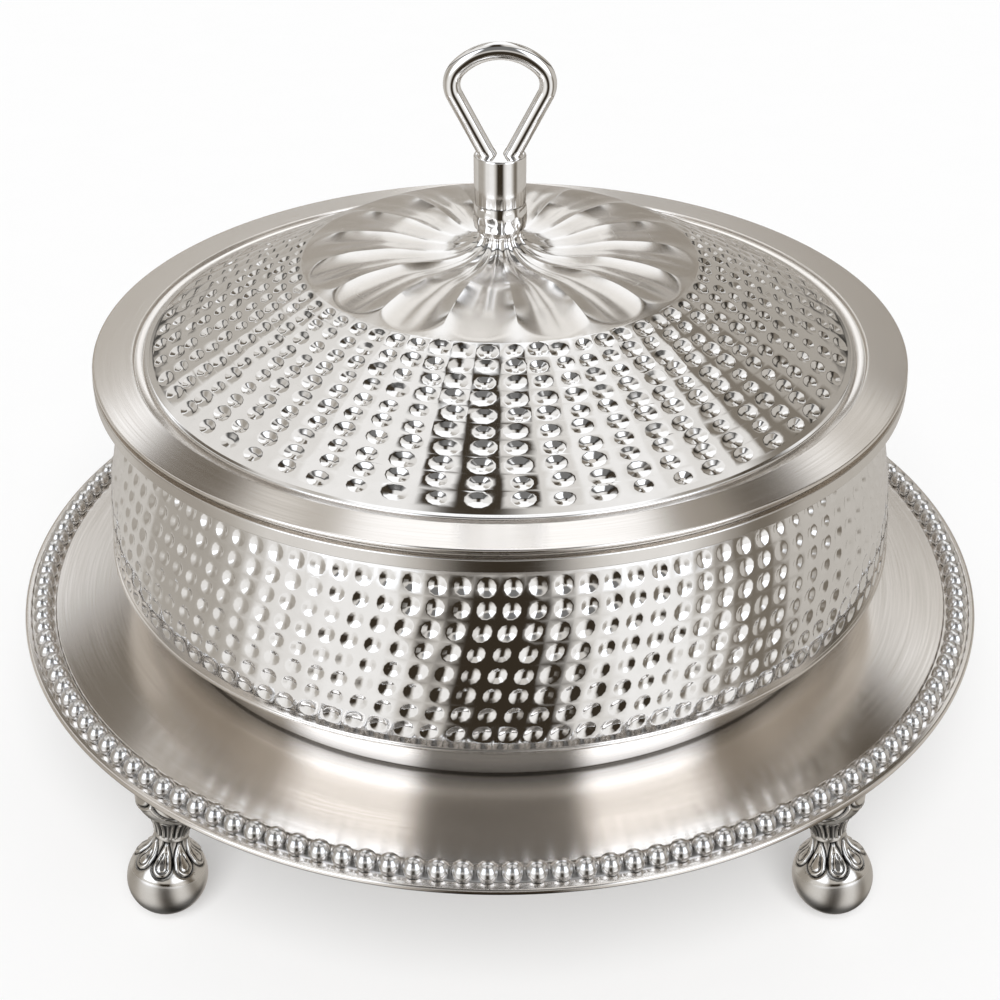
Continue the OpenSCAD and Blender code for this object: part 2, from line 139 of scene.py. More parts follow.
class ServingDishSettings(bpy.types.PropertyGroup):
    """Sizes and colours of the covered serving dish"""

    bead_count: bpy.props.IntProperty(
        name="Beads", description="Number of beads round the tray", default=148, min=60, max=240)
    bead_radius: bpy.props.FloatProperty(
        name="Bead radius", description="Radius of one bead", default=3.8 * MM, unit="LENGTH")
    wall_columns: bpy.props.IntProperty(
        name="Wall dents around", description="Hammer marks in one row of the wall",
        default=114, min=40, max=160)
    wall_rows: bpy.props.IntProperty(
        name="Wall dent rows", description="Rows of hammer marks on the wall", default=8, min=2, max=12)
    wall_depth: bpy.props.FloatProperty(
        name="Wall dent depth", description="Depth of a hammer mark on the wall",
        default=0.95 * MM, unit="LENGTH")
    dome_columns: bpy.props.IntProperty(
        name="Dome dents around", description="Hammer marks in one row of the dome",
        default=60, min=30, max=90)
    dome_rows: bpy.props.IntProperty(
        name="Dome dent rows", description="Rows of hammer marks on the dome", default=10, min=4, max=14)
    dome_depth: bpy.props.FloatProperty(
        name="Dome dent depth", description="Depth of a hammer mark on the dome",
        default=0.95 * MM, unit="LENGTH")
    flutes: bpy.props.IntProperty(
        name="Flutes", description="Flutes in the crown of the lid", default=17, min=12, max=18)
    petals: bpy.props.IntProperty(
        name="Petals", description="Chased petals on each ball foot", default=8, min=6, max=10)
    steel_colour: bpy.props.FloatVectorProperty(
        name="Steel", description="Colour of the polished steel", subtype="COLOR", size=4,
        min=0, max=1, default=linear("#E6E4E1"))
    brushed_colour: bpy.props.FloatVectorProperty(
        name="Brushed steel", description="Colour of the brushed steel", subtype="COLOR", size=4,
        min=0, max=1, default=linear("#E2DCD4"))
    satin_colour: bpy.props.FloatVectorProperty(
        name="Satin steel", description="Colour of the satin feet", subtype="COLOR", size=4,
        min=0, max=1, default=linear("#CDC9C3"))
    # Its darker colour on the flange and collar is painted shade under the brim; on the crown it is the satin
    # tone
    matt_and_shade_colour: bpy.props.FloatVectorProperty(
        name="Matt steel", description="Colour of the hammered pieces where they are left unbuffed",
        subtype="COLOR", size=4, min=0, max=1, default=linear("#C6BEB3"))
    # Also used for painted shade: on the tray round the dish's base and on the bead strip
    groove_and_shade_colour: bpy.props.FloatVectorProperty(
        name="Blackened grooves", description="Colour of the feet's grooves, and a part of it in recesses",
        subtype="COLOR", size=4, min=0, max=1, default=linear("#0C0B0A"))
    floor_colour: bpy.props.FloatVectorProperty(
        name="Floor", description="Colour of the floor", subtype="COLOR", size=4,
        min=0, max=1, default=linear("#F8F8F8"))


def add(tree, kind, inputs=(), **settings):
    """Adds a node, gives it its settings, values and links, and returns its outputs."""
    node = tree.nodes.new(kind)
    for name, value in settings.items():
        setattr(node, name, value)
    for key, value in inputs.items() if isinstance(inputs, dict) else enumerate(inputs):
        if isinstance(value, bpy.types.NodeSocket):
            tree.links.new(value, node.inputs[key])
        else:
            node.inputs[key].default_value = value
    return node.outputs


def calc(tree, operation, *values, **settings):
    """Result of a Math node."""
    return add(tree, "ShaderNodeMath", values, operation=operation, **settings)[0]


def vector(tree, operation, *values, **named):
    """Result of a Vector Math node: a number for a length, or else a vector."""
    outputs = add(tree, "ShaderNodeVectorMath", {**dict(enumerate(values)), **named}, operation=operation)
    return outputs["Value" if operation == "LENGTH" else "Vector"]


def smooth(low_end, high_end, value):
    """Soft step from 0 to 1."""
    t = np.clip((value - low_end) / (high_end - low_end), 0, 1)
    return t * t * (3 - 2 * t)


# Materials


def start_material(name):
    """New material with an empty node tree, and the tree."""
    material = bpy.data.materials.new(name)
    material.use_nodes = True
    material.node_tree.nodes.clear()
    return material, material.node_tree


def blend(tree, share, first, second):
    """Colour between two colours."""
    return add(tree, "ShaderNodeMix", {0: share, 6: first, 7: second}, data_type="RGBA")[2]


def between(tree, share, first, second):
    """Number between two numbers."""
    return add(tree, "ShaderNodeMix", {0: share, 2: first, 3: second})[0]


def spread(tree, share, lowest, highest):
    """A share of 0 to 1 spread over a range."""
    return add(tree, "ShaderNodeMapRange", {"Value": share, "To Min": lowest, "To Max": highest})[0]


def noise(tree, spot, size, detail):
    """Cloudy pattern with patches of a size."""
    return add(tree, "ShaderNodeTexNoise", {"Vector": spot, "Scale": 1 / size, "Detail": detail})["Fac"]


def painted(tree, mark):
    """Value that a mesh carries at its points."""
    return add(tree, "ShaderNodeAttribute", attribute_name=mark)["Fac"]


def end_metal(tree, **inputs):
    """Metal shader and output; a shader input's name is written with _ for a space."""
    inputs = {"Metallic": 1.0, **{key.replace("_", " "): value for key, value in inputs.items()}}
    shader = add(tree, "ShaderNodeBsdfPrincipled", inputs)
    add(tree, "ShaderNodeOutputMaterial", {"Surface": shader["BSDF"]})


def ring_lines(tree, spacing, run):
    """Brushing lines that run round the axis, on level and on upright faces."""
    place = add(tree, "ShaderNodeTexCoord")["Object"]
    flat = vector(tree, "MULTIPLY", place, (1, 1, 0))
    reach = vector(tree, "LENGTH", flat)
    aim = vector(tree, "NORMALIZE", flat)
    aim = vector(tree, "SCALE", aim, Scale=run)
    height = add(tree, "ShaderNodeSeparateXYZ", (place,))["Z"]
    line = calc(tree, "MULTIPLY_ADD", height, 1.3, reach)
    line = calc(tree, "MULTIPLY", line, 1 / spacing)
    line = add(tree, "ShaderNodeCombineXYZ", {"Z": line})[0]
    where = vector(tree, "ADD", aim, line)
    return add(tree, "ShaderNodeTexNoise", {
        "Vector": where, "Scale": 1.0, "Detail": 2.0, "Roughness": 0.6})["Fac"]


def hammered_steel(look):
    """Stainless steel, hammered and buffed; flutes, collar and underside are left partly satin.

    Buffing gives clear reflections with a faint haze in patches; satin shows fine lines round the axis. On
    the flange and collar the darker satin colour is painted shade under the brim."""
    material, tree = start_material("stainless steel hammered and buffed")
    place = add(tree, "ShaderNodeTexCoord")["Object"]
    haze = noise(tree, place, 5 * MM, 3.0)
    satin = painted(tree, "satin")
    # Satin lines are about 0.1 mm apart; drawn at 0.6 mm so that they show
    lines = ring_lines(tree, 0.6 * MM, 3.0)
    clear = spread(tree, haze, 0.04, 0.12)
    grain = spread(tree, lines, 0.22, 0.44)
    rough = between(tree, satin, clear, grain)
    tint = blend(tree, haze, linear("#F1EFED"), look.steel_colour)
    # Satin parts take the matt colour; on the flange and collar this darker colour is painted shade under the
    # brim
    tint = blend(tree, satin, tint, look.matt_and_shade_colour)
    relief = calc(tree, "MULTIPLY", lines, satin)
    bump = add(tree, "ShaderNodeBump", {"Height": relief, "Strength": 0.3, "Distance": 0.03 * MM})["Normal"]
    end_metal(tree, Base_Color=tint, Roughness=rough, Normal=bump)
    return material


def mirror_steel(look):
    """Stainless steel, mirror polished: sharp reflections, with a trace of wiping marks."""
    material, tree = start_material("stainless steel mirror polished")
    place = add(tree, "ShaderNodeTexCoord")["Object"]
    wiped = noise(tree, place, 3 * MM, 4.0)
    rough = spread(tree, wiped, 0.03, 0.09)
    tint = blend(tree, wiped, linear("#F3F1EF"), look.steel_colour)
    # Duller where a polishing wheel doesn't reach, and darker there: painted shade, full on the bead strip
    # under and between the beads and half on the beads
    recess = painted(tree, "recess")
    rough = calc(tree, "MULTIPLY_ADD", recess, 0.3, rough)
    recess = calc(tree, "MULTIPLY", recess, 0.3)
    tint = blend(tree, recess, tint, look.groove_and_shade_colour)
    end_metal(tree, Base_Color=tint, Roughness=rough)
    return material


def brushed_steel(look):
    """Stainless steel, brushed in circles on a lathe: streaks round the axis, fans of light across them."""
    material, tree = start_material("stainless steel brushed in circles")
    # The grit leaves lines about 0.1 mm apart; drawn at 0.7 mm so that they show
    lines = ring_lines(tree, 0.7 * MM, 3.0)
    rough = spread(tree, lines, 0.1, 0.2)
    tint = blend(tree, lines, linear("#F2EEEA"), look.brushed_colour)
    # Darker where the dish's base meets the tray: painted contact shade
    contact_shade = painted(tree, "recess")
    contact_shade = calc(tree, "MULTIPLY", contact_shade, 0.65)
    tint = blend(tree, contact_shade, tint, look.groove_and_shade_colour)
    bump = add(tree, "ShaderNodeBump", {"Height": lines, "Strength": 0.25, "Distance": 0.02 * MM})["Normal"]
    along = add(tree, "ShaderNodeTangent", direction_type="RADIAL", axis="Z")["Tangent"]
    end_metal(tree, Base_Color=tint, Roughness=rough, Normal=bump, Tangent=along, Anisotropic=0.92,
              Anisotropic_Rotation=0.25)
    return material


def satin_steel(look):
    """Cast and chased steel feet: satin ground, polished petals and grooves blackened to set them off."""
    material, tree = start_material("cast steel satin with blackened grooves")
    place = add(tree, "ShaderNodeTexCoord")["Object"]
    groove = painted(tree, "groove")
    polish = painted(tree, "polish")
    # Scouring marks about 0.2 mm wide; drawn at 0.5 mm so that they show
    scour = noise(tree, place, 0.5 * MM, 3.0)
    ground = spread(tree, scour, 0.24, 0.4)
    rough = between(tree, polish, ground, 0.07)
    rough = between(tree, groove, rough, 0.55)
    tint = blend(tree, scour, linear("#D9D5CF"), look.satin_colour)
    tint = blend(tree, groove, tint, look.groove_and_shade_colour)
    bump = add(tree, "ShaderNodeBump", {"Height": scour, "Strength": 0.12, "Distance": 0.03 * MM})["Normal"]
    end_metal(tree, Base_Color=tint, Roughness=rough, Normal=bump)
    return material


def drawn_steel(look):
    """Plain stainless sheet and bar as drawn: even, a little dull, with soft cloudy patches."""
    material, tree = start_material("stainless steel plain drawn")
    place = add(tree, "ShaderNodeTexCoord")["Object"]
    cloud = noise(tree, place, 8 * MM, 4.0)
    lines = ring_lines(tree, 0.9 * MM, 2.0)
    mixed = calc(tree, "MULTIPLY", cloud, lines)
    rough = add(tree, "ShaderNodeMapRange", {
        "Value": mixed, "From Max": 0.5, "To Min": 0.2, "To Max": 0.36})[0]
    tint = blend(tree, cloud, linear("#D9D6D2"), look.brushed_colour)
    end_metal(tree, Base_Color=tint, Roughness=rough)
    return material


FINISHES = {
    "hammered_metal": hammered_steel,
    "polished_metal": mirror_steel,
    "brushed_metal": brushed_steel,
    "satin_metal": satin_steel,
    "plain_metal": drawn_steel,
}


def finish_of(slot):
    """The one material of a slot, made when it is first asked for."""
    for material in bpy.data.materials:
        if material.get("finish") == slot:
            return material
    material = FINISHES[slot](bpy.context.scene.serving_dish)
    material["finish"] = slot
    return material


# Meshes


def rounded(corners, steps=4):
    """Closed outline through corners (r, z, rounding), with a guard point beside each rounding."""
    points = []
    count = len(corners)
    for i, (r, z, radius) in enumerate(corners):
        here = np.array((r, z), float)
        before = np.array(corners[i - 1][:2], float) - here
        after = np.array(corners[(i + 1) % count][:2], float) - here
        reach_a, reach_b = np.hypot(*before), np.hypot(*after)
        if radius == 0:
            points.append(here)
            continue
        a, b = before / reach_a, after / reach_b
        half = math.acos(np.clip(a @ b, -1, 1)) / 2
        back = min(radius / math.tan(half), 0.42 * reach_a, 0.42 * reach_b)
        size = back * math.tan(half)
        middle = here + (a + b) / np.hypot(*(a + b)) * size / math.sin(half)
        start, end = here + a * back, here + b * back
        first = math.atan2(*(start - middle)[::-1])
        sweep = (math.atan2(*(end - middle)[::-1]) - first + math.pi) % (2 * math.pi) - math.pi
        guard = min(0.3 * back, 0.05 * reach_a, 0.05 * reach_b)
        points.append(start + a * guard)
        for k in range(steps + 1):
            angle = first + sweep * k / steps
            points.append(middle + size * np.array((math.cos(angle), math.sin(angle))))
        points.append(end + b * guard)
    return np.array(points)


def arc(middle, radius, start, end, steps):
    """Points on a round stretch of an outline, angles in degrees."""
    angles = np.radians(np.linspace(start, end, steps + 1))
    return np.column_stack((middle[0] + radius * np.cos(angles), middle[1] + radius * np.sin(angles)))


def lattice(rows, columns, wrap_rows=False):
    """Four-sided faces of a grid whose columns close round."""
    i = np.arange(rows if wrap_rows else rows - 1)[:, None]
    j = np.arange(columns)[None, :]
    k, m = (i + 1) % rows, (j + 1) % columns
    corners = np.broadcast_arrays(i * columns + j, i * columns + m, k * columns + m, k * columns + j)
    return np.stack(corners, -1).reshape(-1, 4)


def outward(points, faces):
    """Faces turned so that a closed shape has its outside out."""
    a, b, c, d = (points[faces[:, k]] for k in range(4))
    volume = np.einsum("ij,ij->", a, np.cross(b, c)) + np.einsum("ij,ij->", a, np.cross(c, d))
    return faces if volume > 0 else faces[:, ::-1]


def swept(outline, angles):
    """Points of an outline (r, z) turned to each of the angles, row by row."""
    r, z = outline[:, 0, None], outline[:, 1, None]
    return np.stack(np.broadcast_arrays(r * np.cos(angles), r * np.sin(angles), z), -1).reshape(-1, 3)


def turned(outline, columns=288):
    """Closed outline (r, z) in millimetres turned round the axis."""
    points = swept(outline, np.arange(columns) * 2 * math.pi / columns)
    return points, outward(points, lattice(len(outline), columns, True))


def strip(outline, angles):
    """Open sheet turned from an outline, faces outward for an outline that runs up."""
    return swept(outline, angles), lattice(len(outline), len(angles))


def make_mesh(name, shells, marks=None, crease=None):
    """One mesh from shells in millimetres, welded, smooth, with sharp edges above the crease angle."""
    points = np.concatenate([shell[0] for shell in shells]) * MM
    faces, start = [], 0
    for shell in shells:
        faces += [[int(corner) + start for corner in face] for face in shell[1]]
        start += len(shell[0])
    mesh = bpy.data.meshes.new(name)
    mesh.from_pydata(points.tolist(), [], faces)
    for mark, values in (marks or {}).items():
        mesh.attributes.new(mark, "FLOAT", "POINT").data.foreach_set("value", np.asarray(values, np.float32))
    weld(mesh)
    mesh.shade_smooth()
    if crease:
        mesh.set_sharp_from_angle(angle=math.radians(crease))
    return mesh


def weld(mesh, gap=0.004 * MM):
    """Joins points that lie together and drops faces without an area."""
    work = bmesh.new()
    work.from_mesh(mesh)
    bmesh.ops.remove_doubles(work, verts=work.verts, dist=gap)
    bmesh.ops.dissolve_degenerate(work, edges=work.edges, dist=gap / 4)
    work.to_mesh(mesh)
    work.free()


def place(name, mesh, body, node, slot):
    """Puts a finished piece in the scene in place of its CAD node."""
    piece = bpy.data.objects.new(name, mesh)
    bpy.context.scene.collection.objects.link(piece)
    mesh.materials.clear()
    mesh.materials.append(finish_of(slot))
    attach(piece, body)
    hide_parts(node)


def shells_of(mesh):
    """Points in millimetres and faces of a finished mesh."""
    points = np.empty(len(mesh.vertices) * 3, np.float32)
    mesh.vertices.foreach_get("co", points)
    return points.reshape(-1, 3).astype(float) / MM, [list(face.vertices) for face in mesh.polygons]


def grown(tree, name, values):
    """Mesh that a node tree makes from named input values."""
    base = bpy.data.objects.new(name, bpy.data.meshes.new(name))
    bpy.context.scene.collection.objects.link(base)
    modifier = base.modifiers.new(tree.name, "NODES")
    modifier.node_group = tree
    for item in tree.interface.items_tree:
        if item.in_out == "INPUT" and item.name in values:
            modifier[item.identifier] = values[item.name]
    evaluated = base.evaluated_get(bpy.context.evaluated_depsgraph_get())
    mesh = bpy.data.meshes.new_from_object(evaluated)
    bpy.data.objects.remove(base)
    if not mesh.polygons:
        raise RuntimeError("the node tree " + tree.name + " made no faces")
    return mesh


def start_tree(name, inputs):
    """New geometry node tree with named inputs, and the outputs of its input node."""
    tree = bpy.data.node_groups.new(name, "GeometryNodeTree")
    for label, kind in inputs:
        tree.interface.new_socket(name=label, in_out="INPUT", socket_type="NodeSocket" + kind)
    tree.interface.new_socket(name="Geometry", in_out="OUTPUT", socket_type="NodeSocketGeometry")
    return tree, add(tree, "NodeGroupInput")


# Node trees


def bead_tree():
    """Beads on a ring, each flat underneath."""
    tree, given = start_tree("bead border", (
        ("Beads", "Int"), ("Ring radius", "Float"), ("Bead radius", "Float"), ("Sink", "Float"),
        ("Height", "Float"), ("Material", "Material")))
    ring = add(tree, "GeometryNodeMeshCircle", {
        "Vertices": given["Beads"], "Radius": given["Ring radius"]})[0]
    ball = add(tree, "GeometryNodeMeshUVSphere", {
        "Segments": 14, "Rings": 9, "Radius": given["Bead radius"]})["Mesh"]
    centre = calc(tree, "SUBTRACT", given["Bead radius"], given["Sink"])
    spot = add(tree, "GeometryNodeInputPosition")[0]
    x, y, z = add(tree, "ShaderNodeSeparateXYZ", (spot,))
    z = calc(tree, "ADD", z, centre)
    z = calc(tree, "MAXIMUM", z, 0.0)
    seat = add(tree, "ShaderNodeCombineXYZ", (x, y, z))[0]
    ball = add(tree, "GeometryNodeSetPosition", {"Geometry": ball, "Position": seat})[0]
    row = add(tree, "GeometryNodeInstanceOnPoints", {"Points": ring, "Instance": ball})[0]
    turn = calc(tree, "DIVIDE", math.pi, given["Beads"])
    turn = calc(tree, "ADD", turn, FRONT)
    turn = add(tree, "ShaderNodeCombineXYZ", {"Z": turn})[0]
    lift = add(tree, "ShaderNodeCombineXYZ", {"Z": given["Height"]})[0]
    row = add(tree, "GeometryNodeTransform", {"Geometry": row, "Translation": lift, "Rotation": turn})[0]
    row = add(tree, "GeometryNodeRealizeInstances", {"Geometry": row})[0]
    row = add(tree, "GeometryNodeSetShadeSmooth", (row,))[0]
    row = add(tree, "GeometryNodeSetMaterial", {"Geometry": row, "Material": given["Material"]})[0]
    add(tree, "NodeGroupOutput", (row,))
    return tree


def hammered_tree():
    """Hammer marks in rows and columns on a sheet turned from a section curve."""
    tree, given = start_tree("hammered sheet", (
        ("Section", "Object"), ("Mark", "Object"), ("Columns", "Int"), ("Rows", "Int"), ("Start", "Float"),
        ("Pitch", "Float"), ("Depth", "Float"), ("Lean", "Float"), ("Straight rows", "Float"),
        ("Wander", "Float"), ("Size change", "Float"), ("Narrow", "Float"), ("Swell", "Float"),
        ("Swell size", "Float"), ("Seed", "Int"), ("Material", "Material")))
    mark = add(tree, "GeometryNodeObjectInfo", {"Object": given["Mark"]})["Geometry"]
    section = add(tree, "GeometryNodeObjectInfo", {"Object": given["Section"]})["Geometry"]
    wide = calc(tree, "SUBTRACT", given["Columns"], 1.0)
    tall = calc(tree, "SUBTRACT", given["Rows"], 1.0)
    field = add(tree, "GeometryNodeMeshGrid", {
        "Size X": wide, "Size Y": tall, "Vertices X": given["Columns"], "Vertices Y": given["Rows"]})["Mesh"]
    marks = add(tree, "GeometryNodeInstanceOnPoints", {"Points": field, "Instance": mark})[0]
    spot = add(tree, "GeometryNodeInputPosition")[0]
    # By chance a mark strays, and its size and depth change
    chance = add(tree, "FunctionNodeRandomValue", {
        0: (-1, -1, 0), 1: (1, 1, 0), "Seed": given["Seed"]}, data_type="FLOAT_VECTOR")[0]
    other = calc(tree, "ADD", given["Seed"], 7.0)
    change = add(tree, "FunctionNodeRandomValue", {
        0: (-1, 0.72, 0), 1: (1, 1.2, 0), "Seed": other}, data_type="FLOAT_VECTOR")[0]
    for label, value in (("middle", spot), ("wander", chance), ("change", change)):
        marks = add(tree, "GeometryNodeStoreNamedAttribute", {
            "Geometry": marks, "Name": label, "Value": value}, data_type="FLOAT_VECTOR", domain="INSTANCE")[0]
    sheet = add(tree, "GeometryNodeRealizeInstances", {"Geometry": marks})[0]
    sheet = add(tree, "GeometryNodeMergeByDistance", {"Geometry": sheet, "Distance": 0.002})[0]
    middle, wander, change = (
        add(tree, "GeometryNodeInputNamedAttribute", {"Name": label}, data_type="FLOAT_VECTOR")[0]
        for label in ("middle", "wander", "change"))
    inside = add(tree, "GeometryNodeInputNamedAttribute", {"Name": "inside"}, data_type="FLOAT")[0]
    size, force, _ = add(tree, "ShaderNodeSeparateXYZ", (change,))
    # Each mark is moved and resized inside its own cell
    local = vector(tree, "SUBTRACT", spot, middle)
    for by in (given["Size change"], inside):
        size = calc(tree, "MULTIPLY", size, by)
    grow = vector(tree, "SCALE", local, Scale=size)
    stray = calc(tree, "MULTIPLY", given["Wander"], inside)
    stray = vector(tree, "SCALE", wander, Scale=stray)
    moved = vector(tree, "ADD", grow, stray)
    moved = vector(tree, "ADD", spot, moved)
    x, y, _ = add(tree, "ShaderNodeSeparateXYZ", (moved,))
    _, row, drop = add(tree, "ShaderNodeSeparateXYZ", (spot,))
    half = calc(tree, "MULTIPLY", given["Rows"], 0.5)
    # Where the cells grow wide, the marks keep more of their own width
    level = add(tree, "ShaderNodeSeparateXYZ", (middle,))["Y"]
    level = calc(tree, "SUBTRACT", half, level)
    for operation, by in (("DIVIDE", given["Rows"]), ("MULTIPLY", given["Narrow"]), ("MULTIPLY", inside)):
        level = calc(tree, operation, level, by)
    aside = add(tree, "ShaderNodeSeparateXYZ", (local,))["X"]
    aside = calc(tree, "MULTIPLY", aside, level)
    x = calc(tree, "SUBTRACT", x, aside)
    # Below the straight rows at the top, the columns lean
    limit = calc(tree, "SUBTRACT", half, given["Straight rows"])
    under = calc(tree, "MINIMUM", y, limit)
    under = calc(tree, "SUBTRACT", under, limit)
    x = calc(tree, "MULTIPLY_ADD", under, given["Lean"], x)
    # Columns become angles round the axis, and rows become lengths along the section
    turn = calc(tree, "DIVIDE", x, given["Columns"])
    turn = calc(tree, "MULTIPLY_ADD", turn, 2 * math.pi, FRONT)
    along = calc(tree, "ADD", y, half)
    along = calc(tree, "MULTIPLY_ADD", along, given["Pitch"], given["Start"])
    taken = add(tree, "GeometryNodeSampleCurve", {
        "Curves": section, "Length": along}, mode="LENGTH", use_all_curves=True)
    tx, _, tz = add(tree, "ShaderNodeSeparateXYZ", (taken["Tangent"],))
    tx = calc(tree, "MULTIPLY", tx, -1.0)
    out = add(tree, "ShaderNodeCombineXYZ", {"X": tz, "Z": tx})[0]
    plain = add(tree, "ShaderNodeVectorRotate", {
        "Vector": taken["Position"], "Angle": turn}, rotation_type="Z_AXIS")[0]
    out = add(tree, "ShaderNodeVectorRotate", {"Vector": out, "Angle": turn}, rotation_type="Z_AXIS")[0]
    # Uneven swells of the beaten sheet die out towards its two edges, and the marks close to them
    fade = calc(tree, "ABSOLUTE", row)
    fade = calc(tree, "SUBTRACT", half, fade)
    close = calc(tree, "MULTIPLY", fade, 12.0, use_clamp=True)
    fade = calc(tree, "MULTIPLY", fade, 1.5, use_clamp=True)
    often = calc(tree, "DIVIDE", 1.0, given["Swell size"])
    swell = add(tree, "ShaderNodeTexNoise", {"Vector": plain, "Scale": often, "Detail": 1.0})["Fac"]
    for operation, by in (("SUBTRACT", 0.5), ("MULTIPLY", given["Swell"]), ("MULTIPLY", fade)):
        swell = calc(tree, operation, swell, by)
    for by in (given["Depth"], close):
        force = calc(tree, "MULTIPLY", force, by)
    drop = calc(tree, "MULTIPLY_ADD", drop, force, swell)
    beaten = vector(tree, "MULTIPLY_ADD", out, drop, plain)
    sheet = add(tree, "GeometryNodeSetPosition", {"Geometry": sheet, "Position": beaten})[0]
    sheet = add(tree, "GeometryNodeMergeByDistance", {"Geometry": sheet, "Distance": 0.003 * MM})[0]
    sheet = add(tree, "GeometryNodeSetShadeSmooth", (sheet,))[0]
    sheet = add(tree, "GeometryNodeSetMaterial", {"Geometry": sheet, "Material": given["Material"]})[0]
    add(tree, "NodeGroupOutput", (sheet,))
    return tree


# A hammer mark's cell has this many points round it; those on one side stand at these shares of its width
CELL_POINTS = 12
EDGE_STEPS = (-0.5, -0.5 * math.tan(math.pi / CELL_POINTS), 0.5 * math.tan(math.pi / CELL_POINTS))


def hammer_mark(name, wide, rings, ridge):
    """One cell of a hammered sheet: a dent through rings (radius, drop), with a ridge along its sides."""
    count = CELL_POINTS
    turns = (np.arange(count) + 0.5) * 2 * math.pi / count
    aim = np.column_stack((np.cos(turns), np.sin(turns)))
    points, inside = [(0.0, 0.0, -1.0)], [1.0]
    for radius, drop in rings:
        points += [(x * wide, y, -drop + (1 - drop) * ridge * abs(2 * x) ** 3) for x, y in aim * radius]
        inside += [1.0] * count
    edge = aim / np.abs(aim).max(1)[:, None] / 2
    points += [(x, y, ridge * abs(2 * x) ** 3) for x, y in edge]
    inside += [0.0] * count
    faces = [[0, 1 + j, 1 + (j + 1) % count] for j in range(count)]
    for k in range(1, 1 + count * len(rings), count):
        after = k + count
        faces += [[k + j, after + j, after + (j + 1) % count, k + (j + 1) % count] for j in range(count)]
    mesh = bpy.data.meshes.new(name)
    mesh.from_pydata(points, [], faces)
    mesh.attributes.new("inside", "FLOAT", "POINT").data.foreach_set("value", inside)
    return helper(name, mesh)


def section_curve(name, outline):
    """Section of a sheet as a curve in the XZ plane, in metres."""
    curve = bpy.data.curves.new(name, "CURVE")
    curve.dimensions = "3D"
    line = curve.splines.new("POLY")
    line.points.add(len(outline) - 1)
    for point, (r, z) in zip(line.points, outline):
        point.co = (r * MM, 0, z * MM, 1)
    return helper(name, curve)


def helper(name, data):
    """Object that a node tree reads, removed when the piece is done."""
    thing = bpy.data.objects.new(name, data)
    bpy.context.scene.collection.objects.link(thing)
    return thing


def hammered_sheet(name, outline, mark, values):
    """Points and faces of a sheet with a hammer mark in each cell, turned from its section."""
    section = section_curve(name + " section", outline)
    sheet = grown(hammered_tree(), name, {
        "Section": section, "Mark": mark, "Material": finish_of("hammered_metal"), **values})
    bpy.data.objects.remove(mark)
    bpy.data.objects.remove(section)
    return shells_of(sheet)


def edge_angles(columns, shift):
    """Angles of the points on the upper or lower edge of a hammered sheet."""
    cells = np.arange(columns)[:, None] - (columns - 1) / 2 + np.array(EDGE_STEPS)[None, :]
    return (cells.ravel() + shift) * 2 * math.pi / columns + FRONT


def zipped(lower, lower_angles, upper, upper_angles):
    """Triangles between two rings of points with different counts; the rings' points are given in order."""
    points = np.concatenate((lower, upper))
    count, other = len(lower), len(upper)
    start = lower_angles[0]
    a = np.unwrap(lower_angles) - start
    shift = int(np.argmin((np.asarray(upper_angles) - start) % (2 * math.pi)))
    order = (np.arange(other) + shift) % other
    b = (np.asarray(upper_angles)[order] - start) % (2 * math.pi)
    faces, i, j = [], 0, 0
    while i < count or j < other:
        next_a = a[i + 1] if i + 1 < count else (2 * math.pi if i < count else np.inf)
        next_b = b[j + 1] if j + 1 < other else (b[0] + 2 * math.pi if j < other else np.inf)
        if next_a <= next_b:
            faces.append([i % count, (i + 1) % count, count + order[j % other]])
            i += 1
        else:
            faces.append([i % count, count + order[(j + 1) % other], count + order[j % other]])
            j += 1
    return points, faces


# Pieces


class DISH_OT_tray(bpy.types.Operator):
    """Makes the flat brushed tray with its sunk ledge and rounded lip"""

    bl_idname = "serving_dish.tray"
    bl_label = "Tray"

    def execute(self, context):
        lip_r, shade_out, shade_in = TRAY_R - LIP, BASE_R + 8, BASE_R - 6
        outline = rounded([
            (0, TRAY_UNDER, 0), (TRAY_R, TRAY_UNDER, 1.0), (TRAY_R, TRAY_TOP, 1.05),
            (lip_r, TRAY_TOP, 0.45), (lip_r, LEDGE_Z, 0.25),
            (LEDGE_R, LEDGE_Z, 0.25), (LEDGE_R, TRAY_TOP, 0.45),
            (shade_out, TRAY_TOP, 0), (BASE_R, TRAY_TOP, 0), (shade_in, TRAY_TOP, 0), (0, TRAY_TOP, 0)])
        shell = turned(outline, 360)
        # A dark ring round the dish's base, painted contact shade where the dish meets the tray
        contact_shade = np.abs(np.hypot(shell[0][:, 0], shell[0][:, 1]) - BASE_R) < 0.1
        mesh = make_mesh("tray", [shell], {"recess": contact_shade.astype(float)})
        place("tray", mesh, "stand", "tray_plate", "brushed_metal")
        return {"FINISHED"}


class DISH_OT_beads(bpy.types.Operator):
    """Makes the ring of polished beads on its strip"""

    bl_idname = "serving_dish.beads"
    bl_label = "Bead border"

    def execute(self, context):
        look = context.scene.serving_dish
        sink, strip_half, strip_high = 1.7, 2.5, 0.4
        beads = grown(bead_tree(), "beads", {
            "Beads": look.bead_count, "Ring radius": BEAD_RING_R * MM, "Bead radius": look.bead_radius,
            "Sink": sink * MM, "Height": LEDGE_Z * MM, "Material": finish_of("polished_metal")})
        inner, outer, top = BEAD_RING_R - strip_half, BEAD_RING_R + strip_half, LEDGE_Z + strip_high
        band = rounded([(inner, LEDGE_Z, 0), (outer, LEDGE_Z, 0), (outer, top, 0.15), (inner, top, 0.15)], 2)
        shells = [shells_of(beads), turned(band, 2 * look.bead_count)]
        # The polishing wheel reaches the beads in part and the strip not at all; the same values darken them
        # as painted shade, fully on the strip and half on the beads
        recess = np.repeat((0.5, 1.0), [len(shell[0]) for shell in shells])
        mesh = make_mesh("beads", shells, {"recess": recess}, crease=50)
        place("beads", mesh, "stand", "bead_border", "polished_metal")
        return {"FINISHED"}


